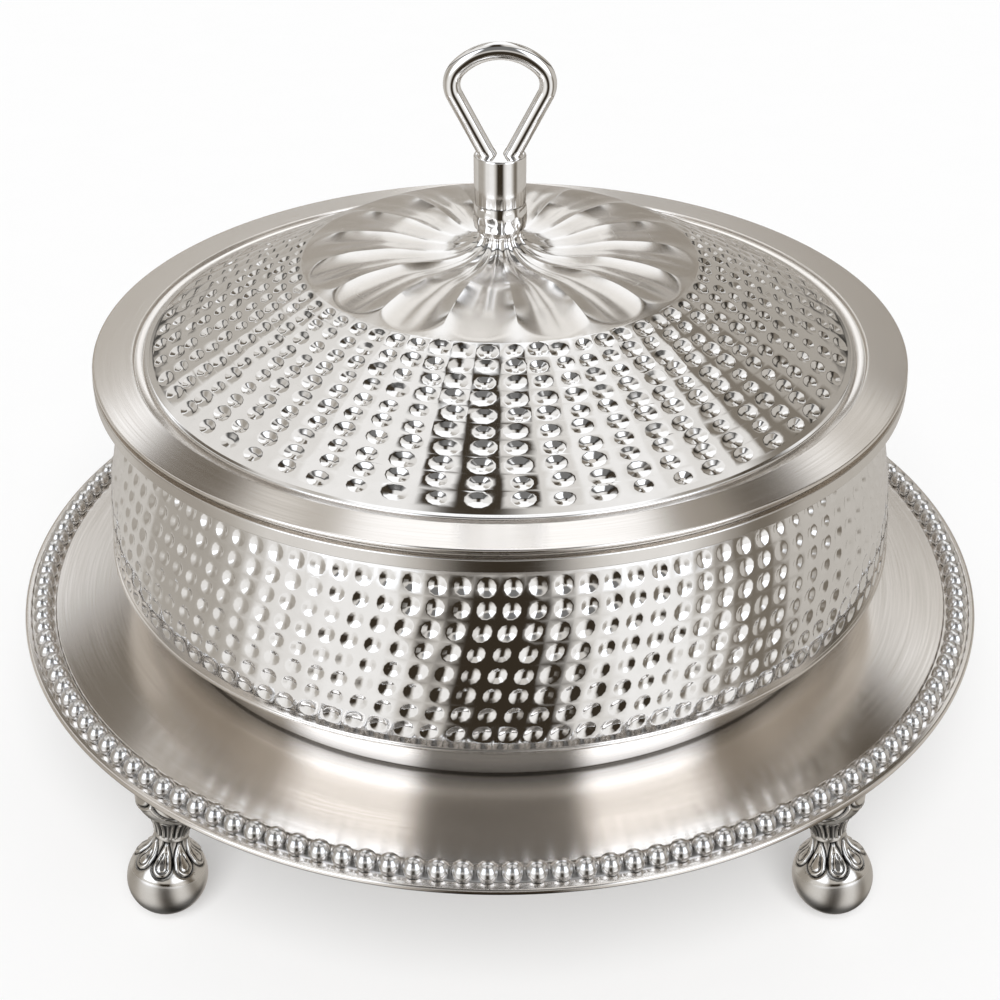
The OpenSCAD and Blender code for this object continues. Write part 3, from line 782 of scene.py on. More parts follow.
def foot_outline(step):
    """Outline of a foot (r, t) from the floor up, t along its own axis from the middle of the ball."""
    waist_r, waist, straight = 6.2, 17.5, 1.5
    hollow = (waist_r ** 2 + waist ** 2 - BALL_R ** 2) / (2 * (BALL_R - waist_r))
    end = math.degrees(math.atan2(waist, waist_r + hollow))
    flare, shoulder, bend = 14.0, 8.0, 130
    aim = np.array((math.cos(math.radians(bend)), math.sin(math.radians(bend))))
    top = waist + straight
    middle = np.array((waist_r + flare, top)) + flare * aim + shoulder * aim
    cup_r = middle[0] + shoulder
    # Only the chased stretch has fine steps
    chased, chased_top, hidden, hidden_top = 15, 48.0, 54.0, 66.0
    pieces = [
        arc((0, 0), BALL_R, -90, chased, 22),
        arc((0, 0), BALL_R, chased, end, int(BALL_R * math.radians(end - chased) / step)),
        arc((waist_r + hollow, waist), hollow, 180 + end, 180, int(hollow * math.radians(end) / step)),
        np.column_stack((np.full(4, waist_r), np.linspace(waist + 0.4, top, 4))),
        arc((waist_r + flare, top), flare, 180, bend, int(flare * math.radians(180 - bend) / step)),
        arc(middle, shoulder, bend - 180, 0, int(shoulder * math.radians(180 - bend) / step)),
        np.column_stack((np.full(28, cup_r), np.linspace(middle[1] + 0.4, chased_top, 28))),
        np.array([(cup_r, hidden), (cup_r, hidden_top), (9.0, hidden_top), (0.0, hidden_top)])]
    points = [pieces[0][0]]
    for one in pieces:
        points += [p for p in one if np.hypot(*(p - points[-1])) > 0.05]
    return np.array(points)


def foot_relief(outline, turn, petals):
    """Height of the chasing, blackening and polish over the foot's outline and turns."""
    r, t = outline[:, 0, None], outline[:, 1, None]
    step = np.hypot(*np.diff(outline, axis=0).T)
    s = np.concatenate(([0.0], np.cumsum(step)))[:, None]
    latitude = np.degrees(np.arctan2(t, np.maximum(r, 1e-6)))
    ball = t < 14.0

    def way(mark):
        """Length along the outline from the height of a mark."""
        return s - np.interp(mark, outline[:, 1], s[:, 0])

    # Tear-drop petals on the upper ball, round end down
    across = ((turn + math.pi / petals) % (2 * math.pi / petals) - math.pi / petals) * r
    petal_foot, petal_r, petal_long = 7.4, 3.3, 12.2
    up = way(petal_foot)
    width = np.interp(up, (petal_r, 6.0, 9.0, 11.8), (petal_r, 2.75, 1.7, 0.6))
    edge = np.where(up < petal_r, petal_r - np.hypot(across, petal_r - up), width - np.abs(across))
    edge = np.minimum(edge, petal_long - up)
    body = smooth(-0.1, 0.75, edge)
    ditch = smooth(-1.0, -0.55, edge) * (1 - smooth(-0.2, 0.1, edge)) * (up < 14)
    inner = (edge - 1.5) * np.where(up < 8.5, 1, 9)
    vein = np.exp(-(inner / 0.3) ** 2) * smooth(0.6, 1.6, up) * (1 - smooth(7.5, 9.5, up))
    height = 0.4 * body - 0.55 * ditch - 0.4 * vein
    groove = np.maximum(ditch, smooth(0.35, 0.75, vein))
    polish = np.maximum(body, (latitude > 19) & ball & (up < 0))

    # Finish line on the ball
    finish_line, ring_line = 4.75, 18.9
    height = height - 0.12 * np.exp(-(way(finish_line) / 0.25) ** 2)

    # Ring line and tongues on the flare
    height = height + 0.25 * np.exp(-(way(ring_line) / 0.4) ** 2)
    tongue_foot, tongue_long = 19.7, 8.0
    up = way(tongue_foot)
    half = 0.37 * 2 * math.pi * r / petals
    tip = np.hypot(across, (up - tongue_long) * half / 2.0)
    edge = np.where(up < tongue_long, half - np.abs(across), half - tip)
    zone = smooth(0.1, 0.5, up) * (1 - smooth(10.4, 11.0, up))
    rim = np.exp(-((edge - 0.3) / 0.32) ** 2) * zone
    hollow = smooth(0.55, 0.95, edge) * zone * (1 - 0.75 * np.exp(-((across - 0.25) / 0.4) ** 2))
    gap = (1 - smooth(-0.45, 0.0, edge)) * zone
    height = height + 0.4 * rim - 0.35 * hollow - 0.45 * gap
    groove = np.maximum(groove, np.maximum(0.95 * hollow, gap))
    polish = np.maximum(polish, rim)

    # Broad leaves round the cup
    leaf = ((turn - math.pi / petals) % (math.pi / 2) - math.pi / 4) / (math.pi / 4)
    leaf_foot, leaf_middle, leaf_wide, leaf_high = 31.2, 7.6, 0.86, 4.6
    up = way(leaf_foot)
    lens = 1 - (leaf / leaf_wide) ** 2 - ((up - leaf_middle) / leaf_high) ** 2
    panel = smooth(-0.02, 0.1, lens)
    crescent = smooth(-0.34, -0.26, lens) * (1 - smooth(-0.08, 0.0, lens))
    roll = np.exp(-((lens + 0.55) / 0.17) ** 2) * (up > -1)
    height = height + 0.25 * panel - 0.5 * crescent + 0.4 * roll * smooth(-1, 1, up)
    groove = np.maximum(groove, crescent)
    polish = np.maximum(polish, np.maximum(0.8 * panel, roll * smooth(-1, 1, up)))
    fade = 1 - smooth(46, 48, t)
    return height * fade, np.clip(groove * fade, 0, 1), np.clip(polish * fade, 0, 1)


def foot_mesh(name, angle, columns, petals):
    """One chased foot at an angle round the tray."""
    outline = foot_outline(0.42)
    # A gap between two petals looks half towards the front and half outward
    valley = {225: 17, 315: -17, 135: -17, 45: 17}[angle]
    turn = np.arange(columns) * 2 * math.pi / columns
    from_petal = turn[None, :] - math.radians(valley) + math.pi / petals
    height, groove, polish = foot_relief(outline, from_petal, petals)
    run = np.gradient(outline, axis=0)
    run /= np.maximum(np.hypot(*run.T), 1e-9)[:, None]
    r = outline[:, 0, None] + run[:, 1, None] * height
    t = outline[:, 1, None] - run[:, 0, None] * height
    r = np.maximum(r, 0)
    x, y, z = np.broadcast_arrays(r * np.cos(turn), r * np.sin(turn), t)
    lean_x = x * math.cos(FOOT_LEAN) - z * math.sin(FOOT_LEAN) + FOOT_REACH
    lean_z = x * math.sin(FOOT_LEAN) + z * math.cos(FOOT_LEAN) + BALL_Z
    lean_z = np.clip(lean_z, 0.0, TRAY_UNDER)
    out_x, out_y = math.cos(math.radians(angle)), math.sin(math.radians(angle))
    points = np.stack((lean_x * out_x - y * out_y, lean_x * out_y + y * out_x, lean_z), -1).reshape(-1, 3)
    faces = outward(points, lattice(len(outline), columns))
    return make_mesh(name, [(points, faces)], {"groove": groove.ravel(), "polish": polish.ravel()})


class DISH_OT_feet(bpy.types.Operator):
    """Makes the four chased ball feet, and dresses their studs"""

    bl_idname = "serving_dish.feet"
    bl_label = "Feet"

    def execute(self, context):
        for node, angle in FEET.items():
            name = node.replace("foot", "chased_foot")
            mesh = foot_mesh(name, angle, 160, context.scene.serving_dish.petals)
            place(name, mesh, "stand", node, "satin_metal")
        dress("foot_studs", "plain_metal")
        return {"FINISHED"}


def dress(node, slot):
    """Gives a CAD node that stays in view the finish of its slot."""
    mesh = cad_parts[node].data
    mesh.materials.clear()
    mesh.materials.append(finish_of(slot))


class DISH_OT_jacket(bpy.types.Operator):
    """Makes the hammered wall of the dish with its flange and hanging collar"""

    bl_idname = "serving_dish.jacket"
    bl_label = "Hammered wall"

    def execute(self, context):
        look = context.scene.serving_dish
        middle = (WALL_R - WALL_SWEEP, SEAM_Z)
        top = math.degrees(math.asin((WALL_TOP - SEAM_Z) / WALL_SWEEP))
        wall = arc(middle, WALL_SWEEP, 0, top, 130)
        mark = hammer_mark("wall mark", wide=0.88, rings=((0.2, 0.8), (0.38, 0.05), (0.45, -0.05)), ridge=0.0)
        pitch, start, lean, straight = 7.376, 2.62, 0.2, 1.5
        rows, columns = look.wall_rows, look.wall_columns
        sheet = hammered_sheet("wall", wall, mark, {
            "Columns": columns, "Rows": rows, "Start": start * MM, "Pitch": pitch * MM,
            "Depth": look.wall_depth, "Lean": lean, "Straight rows": straight, "Wander": 0.03,
            "Size change": 0.06, "Narrow": 0.0, "Swell": 0.9 * MM, "Swell size": 12 * MM, "Seed": 3})
        step = math.degrees(1 / WALL_SWEEP)
        flange_under = FLANGE_TOP - SHEET
        collar_r, collar_z = 151.0, FLANGE_TOP - 4.8
        jacket_r = wall[-1][0]
        top_side = np.concatenate((
            arc(middle, WALL_SWEEP, (start + rows * pitch) * step, top, 6),
            rounded([
                (jacket_r, flange_under, 0.5), (collar_r - SHEET, flange_under, 0.3),
                (collar_r - SHEET, collar_z, 0.35), (collar_r, collar_z, 0.5), (collar_r, FLANGE_TOP, 0.6),
                (jacket_r - SHEET, FLANGE_TOP, 0.5)], 4),
            arc(middle, WALL_SWEEP - SHEET, top, 0, 24)))
        under = arc(middle, WALL_SWEEP, 0, start * step, 3)
        shift = -lean * (rows - straight)
        high_angles = edge_angles(columns, 0.0)
        low_angles = edge_angles(columns, shift)
        shells = [sheet, strip(top_side, high_angles), strip(under, low_angles)]
        # Flange and collar are buffed less than the wall, and their colour is pulled darker as painted shade
        # under the brim
        collar = 0.35 * np.repeat(smooth(jacket_r + 0.2, jacket_r + 0.8, top_side[:, 0]), len(high_angles))
        satin = np.concatenate((np.zeros(len(shells[0][0])), collar, np.zeros(len(shells[2][0]))))
        mesh = make_mesh("hammered_wall", shells, {"satin": satin})
        place("hammered_wall", mesh, "dish", "dish_jacket", "hammered_metal")
        return {"FINISHED"}


class DISH_OT_pan(bpy.types.Operator):
    """Makes the base under the wall and the plain bowl inside it"""

    bl_idname = "serving_dish.pan"
    bl_label = "Base and bowl"

    def execute(self, context):
        recess, band_top = DISH_Z + 2.0, DISH_Z + 10
        slope_r, slope_z, seam_r = 145.25, DISH_Z + 15.6, WALL_R + 0.7
        outline = rounded([
            (0, recess, 0), (BASE_R - 6, recess, 0.6), (BASE_R - 5, DISH_Z, 0.6), (BASE_R - 1, DISH_Z, 0.5),
            (BASE_R, DISH_Z + 1, 0.5), (BASE_R, band_top, 1.5), (slope_r, slope_z, 8),
            (WALL_R, SEAM_Z - SHEET, 0.3), (seam_r, SEAM_Z - SHEET, 0.5), (seam_r, SEAM_Z, 0.5),
            (WALL_R - 2 * SHEET, SEAM_Z, 0), (slope_r - SHEET, slope_z + SHEET, 4),
            (BASE_R - SHEET, band_top + SHEET, 1), (BASE_R - SHEET, recess + SHEET, 0.3),
            (0, recess + SHEET, 0)])
        place("base_pan", make_mesh("base_pan", [turned(outline)]), "dish", "dish_base", "brushed_metal")
        floor_z, mouth, rim, corner, thick = DISH_Z + 6.0, 133.0, 148.0, 16.0, 0.8
        bowl_rim = high("dish_bowl")[2]
        outline = np.concatenate((
            [(0, floor_z - thick)],
            arc((mouth - corner, floor_z + corner), corner + thick, -90, 0, 14),
            rounded([
                (mouth + thick, bowl_rim - thick, 0.4), (rim, bowl_rim - thick, 0.3), (rim, bowl_rim, 0.3),
                (mouth, bowl_rim, 0.6)], 4),
            arc((mouth - corner, floor_z + corner), corner, 0, -90, 14),
            [(0, floor_z)]))
        place("bowl", make_mesh("bowl", [turned(outline)], crease=40), "dish", "dish_bowl", "plain_metal")
        return {"FINISHED"}


def dome_height(r):
    """Height of the dome's face without flutes and dents."""
    inner = CROWN_R - SHOULDER * math.cos(CROWN_SLOPE)
    outer = CROWN_R + SHOULDER * math.cos(FIELD_SLOPE)
    bend = SHOULDER / math.tan((FIELD_SLOPE - CROWN_SLOPE) / 2)
    mid_r = inner - bend * math.sin(CROWN_SLOPE)
    mid_z = CROWN_Z + SHOULDER * math.sin(CROWN_SLOPE) - bend * math.cos(CROWN_SLOPE)
    foot = NECK_R + NECK_SPREAD
    # The crown dips less than the solid does
    dip = 0.65 * NECK_DIP * (1 - smooth(foot, DIP_R, r))
    return np.where(
        r < inner, CROWN_Z + (CROWN_R - r) * math.tan(CROWN_SLOPE) - dip, np.where(
            r < outer, mid_z + np.sqrt(np.maximum(bend ** 2 - (r - mid_r) ** 2, 0)),
            FIELD_Z + (EDGE_R - r) * math.tan(FIELD_SLOPE)))


def flute_form(u):
    """Section of a flute between its ridges, with a soft crease along the valley."""
    return 1 - u * u - 0.25 * np.maximum(0, 1 - 3 * np.abs(u))


def flute_depth(r, u, front=0.5):
    """Depth of a flute, which dies out at a scalloped line and, away from the front, before the neck."""
    start = FLUTE_END - FLUTE_RUN
    t = np.clip((r - start) / (FLUTE_END - FLUTE_SCALLOP * u * u - start), 0, 1)
    kept = 0.35 * front
    inward = kept + (1 - kept) * smooth(22 - 7 * front, 36 - 4 * front, r)
    return FLUTE_DEPTH * np.maximum(r, FOLD_R) * flute_form(u) * (1 - t ** 6) * inward


def crown_grid(flutes, per_flute, bands, top_r):
    """Crown and neck as a grid of rows from the field up to the ring, with the columns on the ridges."""
    columns = flutes * per_flute
    flute = np.arange(columns) // per_flute
    u = 2.0 * (np.arange(columns) % per_flute) / per_flute - 1
    # The columns stand closer together beside the ridges, which keeps the ridges sharp
    u = np.sign(u) * (1 - (1 - np.abs(u)) ** 1.6)
    angles = (flute + (u + 1) / 2) * 2 * math.pi / flutes + FLUTE_TURN + FRONT
    # Beaten by hand, so the flutes differ a little in depth and ripple along their length
    chance = np.random.default_rng(5)
    force = chance.uniform(0.75, 1.2, flutes)[flute]
    phase = chance.uniform(0, 2 * math.pi, flutes)[flute]
    ripple_high, ripple_long, fold_depth = 0.12, 4.2, 0.75
    reach = FLUTE_END - FLUTE_SCALLOP * u * u
    start = NECK_R + NECK_SPREAD
    front = smooth(0.0, 0.8, np.cos(angles - FRONT))
    rows = [(np.full(columns, top_r), dome_height(np.full(columns, top_r)))]
    for share in (0.35, 0.7):
        r = top_r + (reach - top_r) * share
        rows.append((r, dome_height(r)))
    for k in range(bands + 1):
        r = reach + (start - reach) * k / bands
        ripple = ripple_high * np.sin(r / ripple_long + phase) * (1 - u * u)
        ripple = ripple * smooth(20, 34, r) * (1 - smooth(52, 66, r))
        rows.append((r, dome_height(r) - flute_depth(r, u, front) * force - ripple))
    # Folds of the crown draw together and run up the neck
    first = flute_depth(start, u, front) * force
    fold = fold_depth * flute_form(u) * force
    base = float(dome_height(start))
    flare_steps, neck_steps = 8, 10
    for k in range(1, flare_steps + 1):
        a = math.pi / 2 * k / flare_steps
        drop = first + (fold - first) * k / flare_steps
        rows.append((start - NECK_SPREAD * math.sin(a) - drop * math.sin(a),
                     base + NECK_FLARE * (1 - math.cos(a)) - drop * math.cos(a)))
    for k in range(1, neck_steps + 1):
        share = k / neck_steps
        rows.append((NECK_R + (NECK_TOP_R - NECK_R) * share ** 2 - fold * (1 - 0.8 * share),
                     np.full(columns, base + NECK_FLARE + (RING_Z - base - NECK_FLARE) * share)))
    r = np.array([row[0] for row in rows])
    z = np.array([row[1] for row in rows])
    points = np.stack((r * np.cos(angles), r * np.sin(angles), z), -1).reshape(-1, 3)
    # Buffing reaches the ridges and the neck, and leaves the flutes satin
    satin = (0.15 + 0.5 * smooth(13, 32, r)) * (1 - 0.6 * smooth(0.5, 1.0, np.abs(u)))
    return points, lattice(len(rows), columns), angles, satin.ravel()


class DISH_OT_dome(bpy.types.Operator):
    """Makes the dome of the lid: hammered field, fluted crown, draped neck and edge ridge"""

    bl_idname = "serving_dish.dome"
    bl_label = "Dome"

    def execute(self, context):
        look = context.scene.serving_dish
        low_r, top_r = 128.9, 72.8
        line = np.linspace(EDGE_R - 0.1, 70.0, 160)
        outline = np.column_stack((line, dome_height(line)))
        travel = np.concatenate(([0.0], np.cumsum(np.hypot(*np.diff(outline, axis=0).T))))
        start = float(np.interp(-low_r, -line, travel))
        end = float(np.interp(-top_r, -line, travel))
        rows, columns = look.dome_rows, look.dome_columns
        mark = hammer_mark("dome mark", wide=0.98, rings=((0.21, 0.8), (0.4, 0.05), (0.48, -0.05)), ridge=0.2)
        field = hammered_sheet("field", outline, mark, {
            "Columns": columns, "Rows": rows, "Start": start * MM, "Pitch": (end - start) / rows * MM,
            "Depth": look.dome_depth, "Lean": 0.0, "Straight rows": 0.0, "Wander": 0.07, "Size change": 0.13,
            "Narrow": 0.3, "Swell": 0.6 * MM, "Swell size": 8 * MM, "Seed": 11})
        angles = edge_angles(columns, 0.0)
        crown, crown_faces, crown_angles, crown_satin = crown_grid(look.flutes, 20, 36, top_r - 0.25)
        field_top = swept(np.array([(top_r, float(dome_height(top_r)))]), angles)
        join = zipped(field_top, angles, crown[:len(crown_angles)], crown_angles)
        # Smooth margin, edge ridge, and the plain underside up to the neck's top
        hem_r = DOME_R - 3
        margin = np.array([
            (hem_r, HEM_Z), (DOME_R, HEM_Z), (DOME_R, FIELD_Z - 0.5), (DOME_R - 0.15, FIELD_Z - 0.2),
            (DOME_R - 0.5, FIELD_Z), (EDGE_R + 0.5, FIELD_Z), (EDGE_R, FIELD_Z)])
        slope = np.linspace(EDGE_R - 0.4, low_r, 4)
        margin = np.concatenate((margin, np.column_stack((slope, dome_height(slope)))))
        inner = np.concatenate((np.linspace(10.4, 72, 40), np.linspace(76, 128.5, 12)))
        inner = np.column_stack((inner, dome_height(inner) - flute_depth(inner, 0.33) - SHEET))
        seat_r, seat_z = 9.8, CROWN_TOP - NECK_DIP - 2.8
        under = np.concatenate((
            [(NECK_TOP_R, RING_Z), (BORE_R, RING_Z), (BORE_R, seat_z)],
            [(seat_r, seat_z), (seat_r, seat_z + 0.1)], inner, [(hem_r, HEM_Z + 0.2), (hem_r, HEM_Z)]))
        shells = [field, strip(margin, angles), join, (crown, crown_faces), strip(under, crown_angles)]
        finish = (0.0, 0.0, 0.25, crown_satin, 0.6)
        satin = np.concatenate([np.broadcast_to(one, len(shell[0])) for one, shell in zip(finish, shells)])
        mesh = make_mesh("dome", shells, {"satin": satin}, crease=38)
        place("dome", mesh, "lid", "lid_dome", "hammered_metal")
        return {"FINISHED"}


class DISH_OT_brim(bpy.types.Operator):
    """Makes the brushed brim of the lid with its rolled edge and groove, and the skirt under it"""

    bl_idname = "serving_dish.brim"
    bl_label = "Brim and skirt"

    def execute(self, context):
        edge, flat_r = 0.72, 148.0
        inner, groove = DOME_R - 3.0, DOME_R + 3.6
        outline = np.concatenate((
            [(inner, BRIM_Z)],
            rounded([(inner, BRIM_Z, 0), (flat_r, BRIM_Z, 0.8), (BRIM_R - edge, BRIM_TOP - 2 * edge, 0)])[1:],
            arc((BRIM_R - edge, BRIM_TOP - edge), edge, -80, 90, 10),
            [(BRIM_R - edge - 0.3, BRIM_TOP), (groove + edge + 0.3, BRIM_TOP)],
            arc((groove + edge, BRIM_TOP - edge), edge, 90, 180, 6),
            [(groove, HEM_Z + 0.4), (groove - 0.1, HEM_Z + 0.1), (groove - 0.4, HEM_Z), (inner, HEM_Z)]))
        place("brim", make_mesh("brim", [turned(outline)]), "lid", "lid_brim", "brushed_metal")
        out, bottom = high("lid_skirt")[0], low("lid_skirt")[2]
        thick, flange = 1, out - 5
        outline = rounded([
            (flange, BRIM_Z - thick, 0.3), (out - thick, BRIM_Z - thick, 0.8), (out - thick, bottom, 0.35),
            (out, bottom, 0.35), (out, BRIM_Z, 0.3), (flange, BRIM_Z, 0.3)], 3)
        place("skirt", make_mesh("skirt", [turned(outline)]), "lid", "lid_skirt", "plain_metal")
        return {"FINISHED"}


def ring_shell():
    """Bulged ring between neck and socket, with irregular hammered facets and a bore."""
    columns, rows, facets, facet_depth = 96, 22, 44, 0.32
    ring_r, ring_bulge, ring_mean = 9.4, 0.5, 9.6
    turn = np.arange(columns) * 2 * math.pi / columns
    share = np.linspace(0, 1, rows)[:, None]
    bulge = ring_r + ring_bulge * (1 - (2 * share - 1) ** 2)
    beat = np.random.default_rng(5)
    dents = np.zeros((rows, columns))
    for _ in range(facets):
        at, up, size = beat.uniform(0, 2 * math.pi), beat.uniform(0.1, 0.9), beat.uniform(1.4, 2.3)
        off = (turn - at + math.pi) % (2 * math.pi) - math.pi
        reach = np.hypot(off * ring_mean, (share - up) * (RING_TOP - RING_Z)) / size
        dents = np.minimum(dents, -facet_depth * np.clip(1 - reach ** 2, 0, 1))
    r = bulge + dents * smooth(0, 0.1, share) * (1 - smooth(0.9, 1, share))
    height = RING_Z + (RING_TOP - RING_Z) * share
    points = np.stack(np.broadcast_arrays(r * np.cos(turn), r * np.sin(turn), height), -1)
    bore = swept(np.array([(BORE_R, RING_TOP), (BORE_R, RING_Z)]), turn)
    points = np.concatenate((points.reshape(-1, 3), bore))
    return points, outward(points, lattice(rows + 2, columns, True))


def loop_shell():
    """Round wire bent through two side bends and a wide top bend, with a fillet of braze at its feet."""
    wire, lean, bend, top_bend, half, sides = 3.05, 28, 8.0, 20.36, 44.9, 28
    leg_x, depth, mid_z = 4.6, 2.0, SOCKET_TOP + 24.8
    side_x, top_z = 8.72, SOCKET_TOP + 16.04
    foot = np.array((leg_x - depth * math.tan(math.radians(lean)), SOCKET_TOP - depth))
    side_bend = arc((side_x, mid_z), bend, -lean, 90 - half, 20)
    leg = foot + (side_bend[0] - foot) * np.linspace(0, 1, 30)[:, None] ** 1.4
    path = np.concatenate((leg[:-1], side_bend[:-1], arc((0, top_z), top_bend, 90 - half, 90, 16)))
    path = np.concatenate((path, path[-2::-1] * (-1, 1)))
    run = np.gradient(path, axis=0)
    run /= np.hypot(*run.T)[:, None]
    fillet, fillet_run = 0.15, 0.4
    size = wire + fillet * np.exp(-np.maximum(path[:, 1] - SOCKET_TOP, 0) / fillet_run)
    around = np.arange(sides) * 2 * math.pi / sides
    x = path[:, 0, None] + size[:, None] * run[:, 1, None] * np.cos(around)
    z = path[:, 1, None] - size[:, None] * run[:, 0, None] * np.cos(around)
    y = size[:, None] * np.sin(around)
    points = np.stack((x, y, z), -1)
    ends = [np.broadcast_to((path[k][0], 0, path[k][1]), (1, sides, 3)) for k in (0, -1)]
    points = np.concatenate((ends[0], points, ends[1])).reshape(-1, 3)
    return points, outward(points, lattice(len(path) + 2, sides))


class DISH_OT_handle(bpy.types.Operator):
    """Makes the hammered neck ring, the socket and the loop, and dresses the fixings inside the lid"""

    bl_idname = "serving_dish.handle"
    bl_label = "Handle"

    def execute(self, context):
        mesh = make_mesh("hammered_ring", [ring_shell()], crease=50)
        place("hammered_ring", mesh, "lid", "neck_ring", "polished_metal")
        outline = rounded([
            (0, RING_TOP, 0), (SOCKET_R, RING_TOP, 0.6), (SOCKET_R, SOCKET_TOP, 0.8), (0, SOCKET_TOP, 0)], 5)
        place("socket", make_mesh("socket", [turned(outline, 128)]), "lid", "handle_socket", "polished_metal")
        place("loop", make_mesh("loop", [loop_shell()], crease=60), "lid", "handle_loop", "polished_metal")
        dress("handle_screw", "plain_metal")
        dress("handle_washer", "plain_metal")
        return {"FINISHED"}


# Stage, in metres

CAMERA_AT = np.array((0, -0.5225, 0.4315))
CAMERA_AIM = np.array((0, 0, 0.0993))
TO_CAMERA = (CAMERA_AT - CAMERA_AIM) / np.linalg.norm(CAMERA_AT - CAMERA_AIM)
FLOOR_HALF = 4
TENT_R = 3.0

# Panels of the tent's rings, from the top down: angle from the front in degrees where each ends, brightness
TENT_RINGS = (
    ((-50, 0.50), (-44, 1.3), (-31, 0.15), (-24, 0.80), (-18, 0.52), (19, 1.25), (28, 0.35), (37, 0.08),
     (42.5, 1.1), (46.5, 0.60), (51, 0.80), (55, 0.12), (58, 0.62), (61, 0.22), (180, 0.40)),
    ((-69, 0.52), (-36, 0.86), (-12, 0.98), (3, 0.05), (14, 0.80), (30, 1.0), (47, 0.88), (64, 0.24),
     (84, 0.45), (180, 0.45)),
    ((-60, 0.60), (-42, 0.40), (-32, 0.60), (-12, 2.2), (12, 0.70), (32, 2.2), (42, 0.35), (70, 0.60),
     (180, 0.55)),
    ((-70, 0.60), (-60, 0.64), (-42, 0.45), (-36, 0.55), (-26, 0.88), (-13, 0.98), (-8, 0.60), (8.5, 0.04),
     (14, 0.75), (28, 1.0), (33, 0.60), (43, 0.20), (70, 0.58), (180, 0.55)),
)
# Half of the soft edge between a ring's panels, in degrees
TENT_SOFT = (1.4, 3.0, 3.0, 2.8)
# A spot on the tent is laid out by the normal of the face that shows it to the camera. Each soft step
# between two parts of the tent starts and ends at a height of that normal. The card's width is an angle
# in radians, and the back is told by the sum of the two directions, which is short straight behind
TENT_STEPS = {
    "top ring": (0.9, 0.93), "upper ring": (0.7, 0.76), "middle ring": (0.34, 0.44),
    "over the gap": (0.78, 0.82), "under the gap": (0.77, 0.73), "lower edge": (-0.32, -0.1),
    "card foot": (0.48, 0.54), "card top": (0.8, 0.74), "card width": (0.25, 0.17), "back": (0.5, 0.75)}


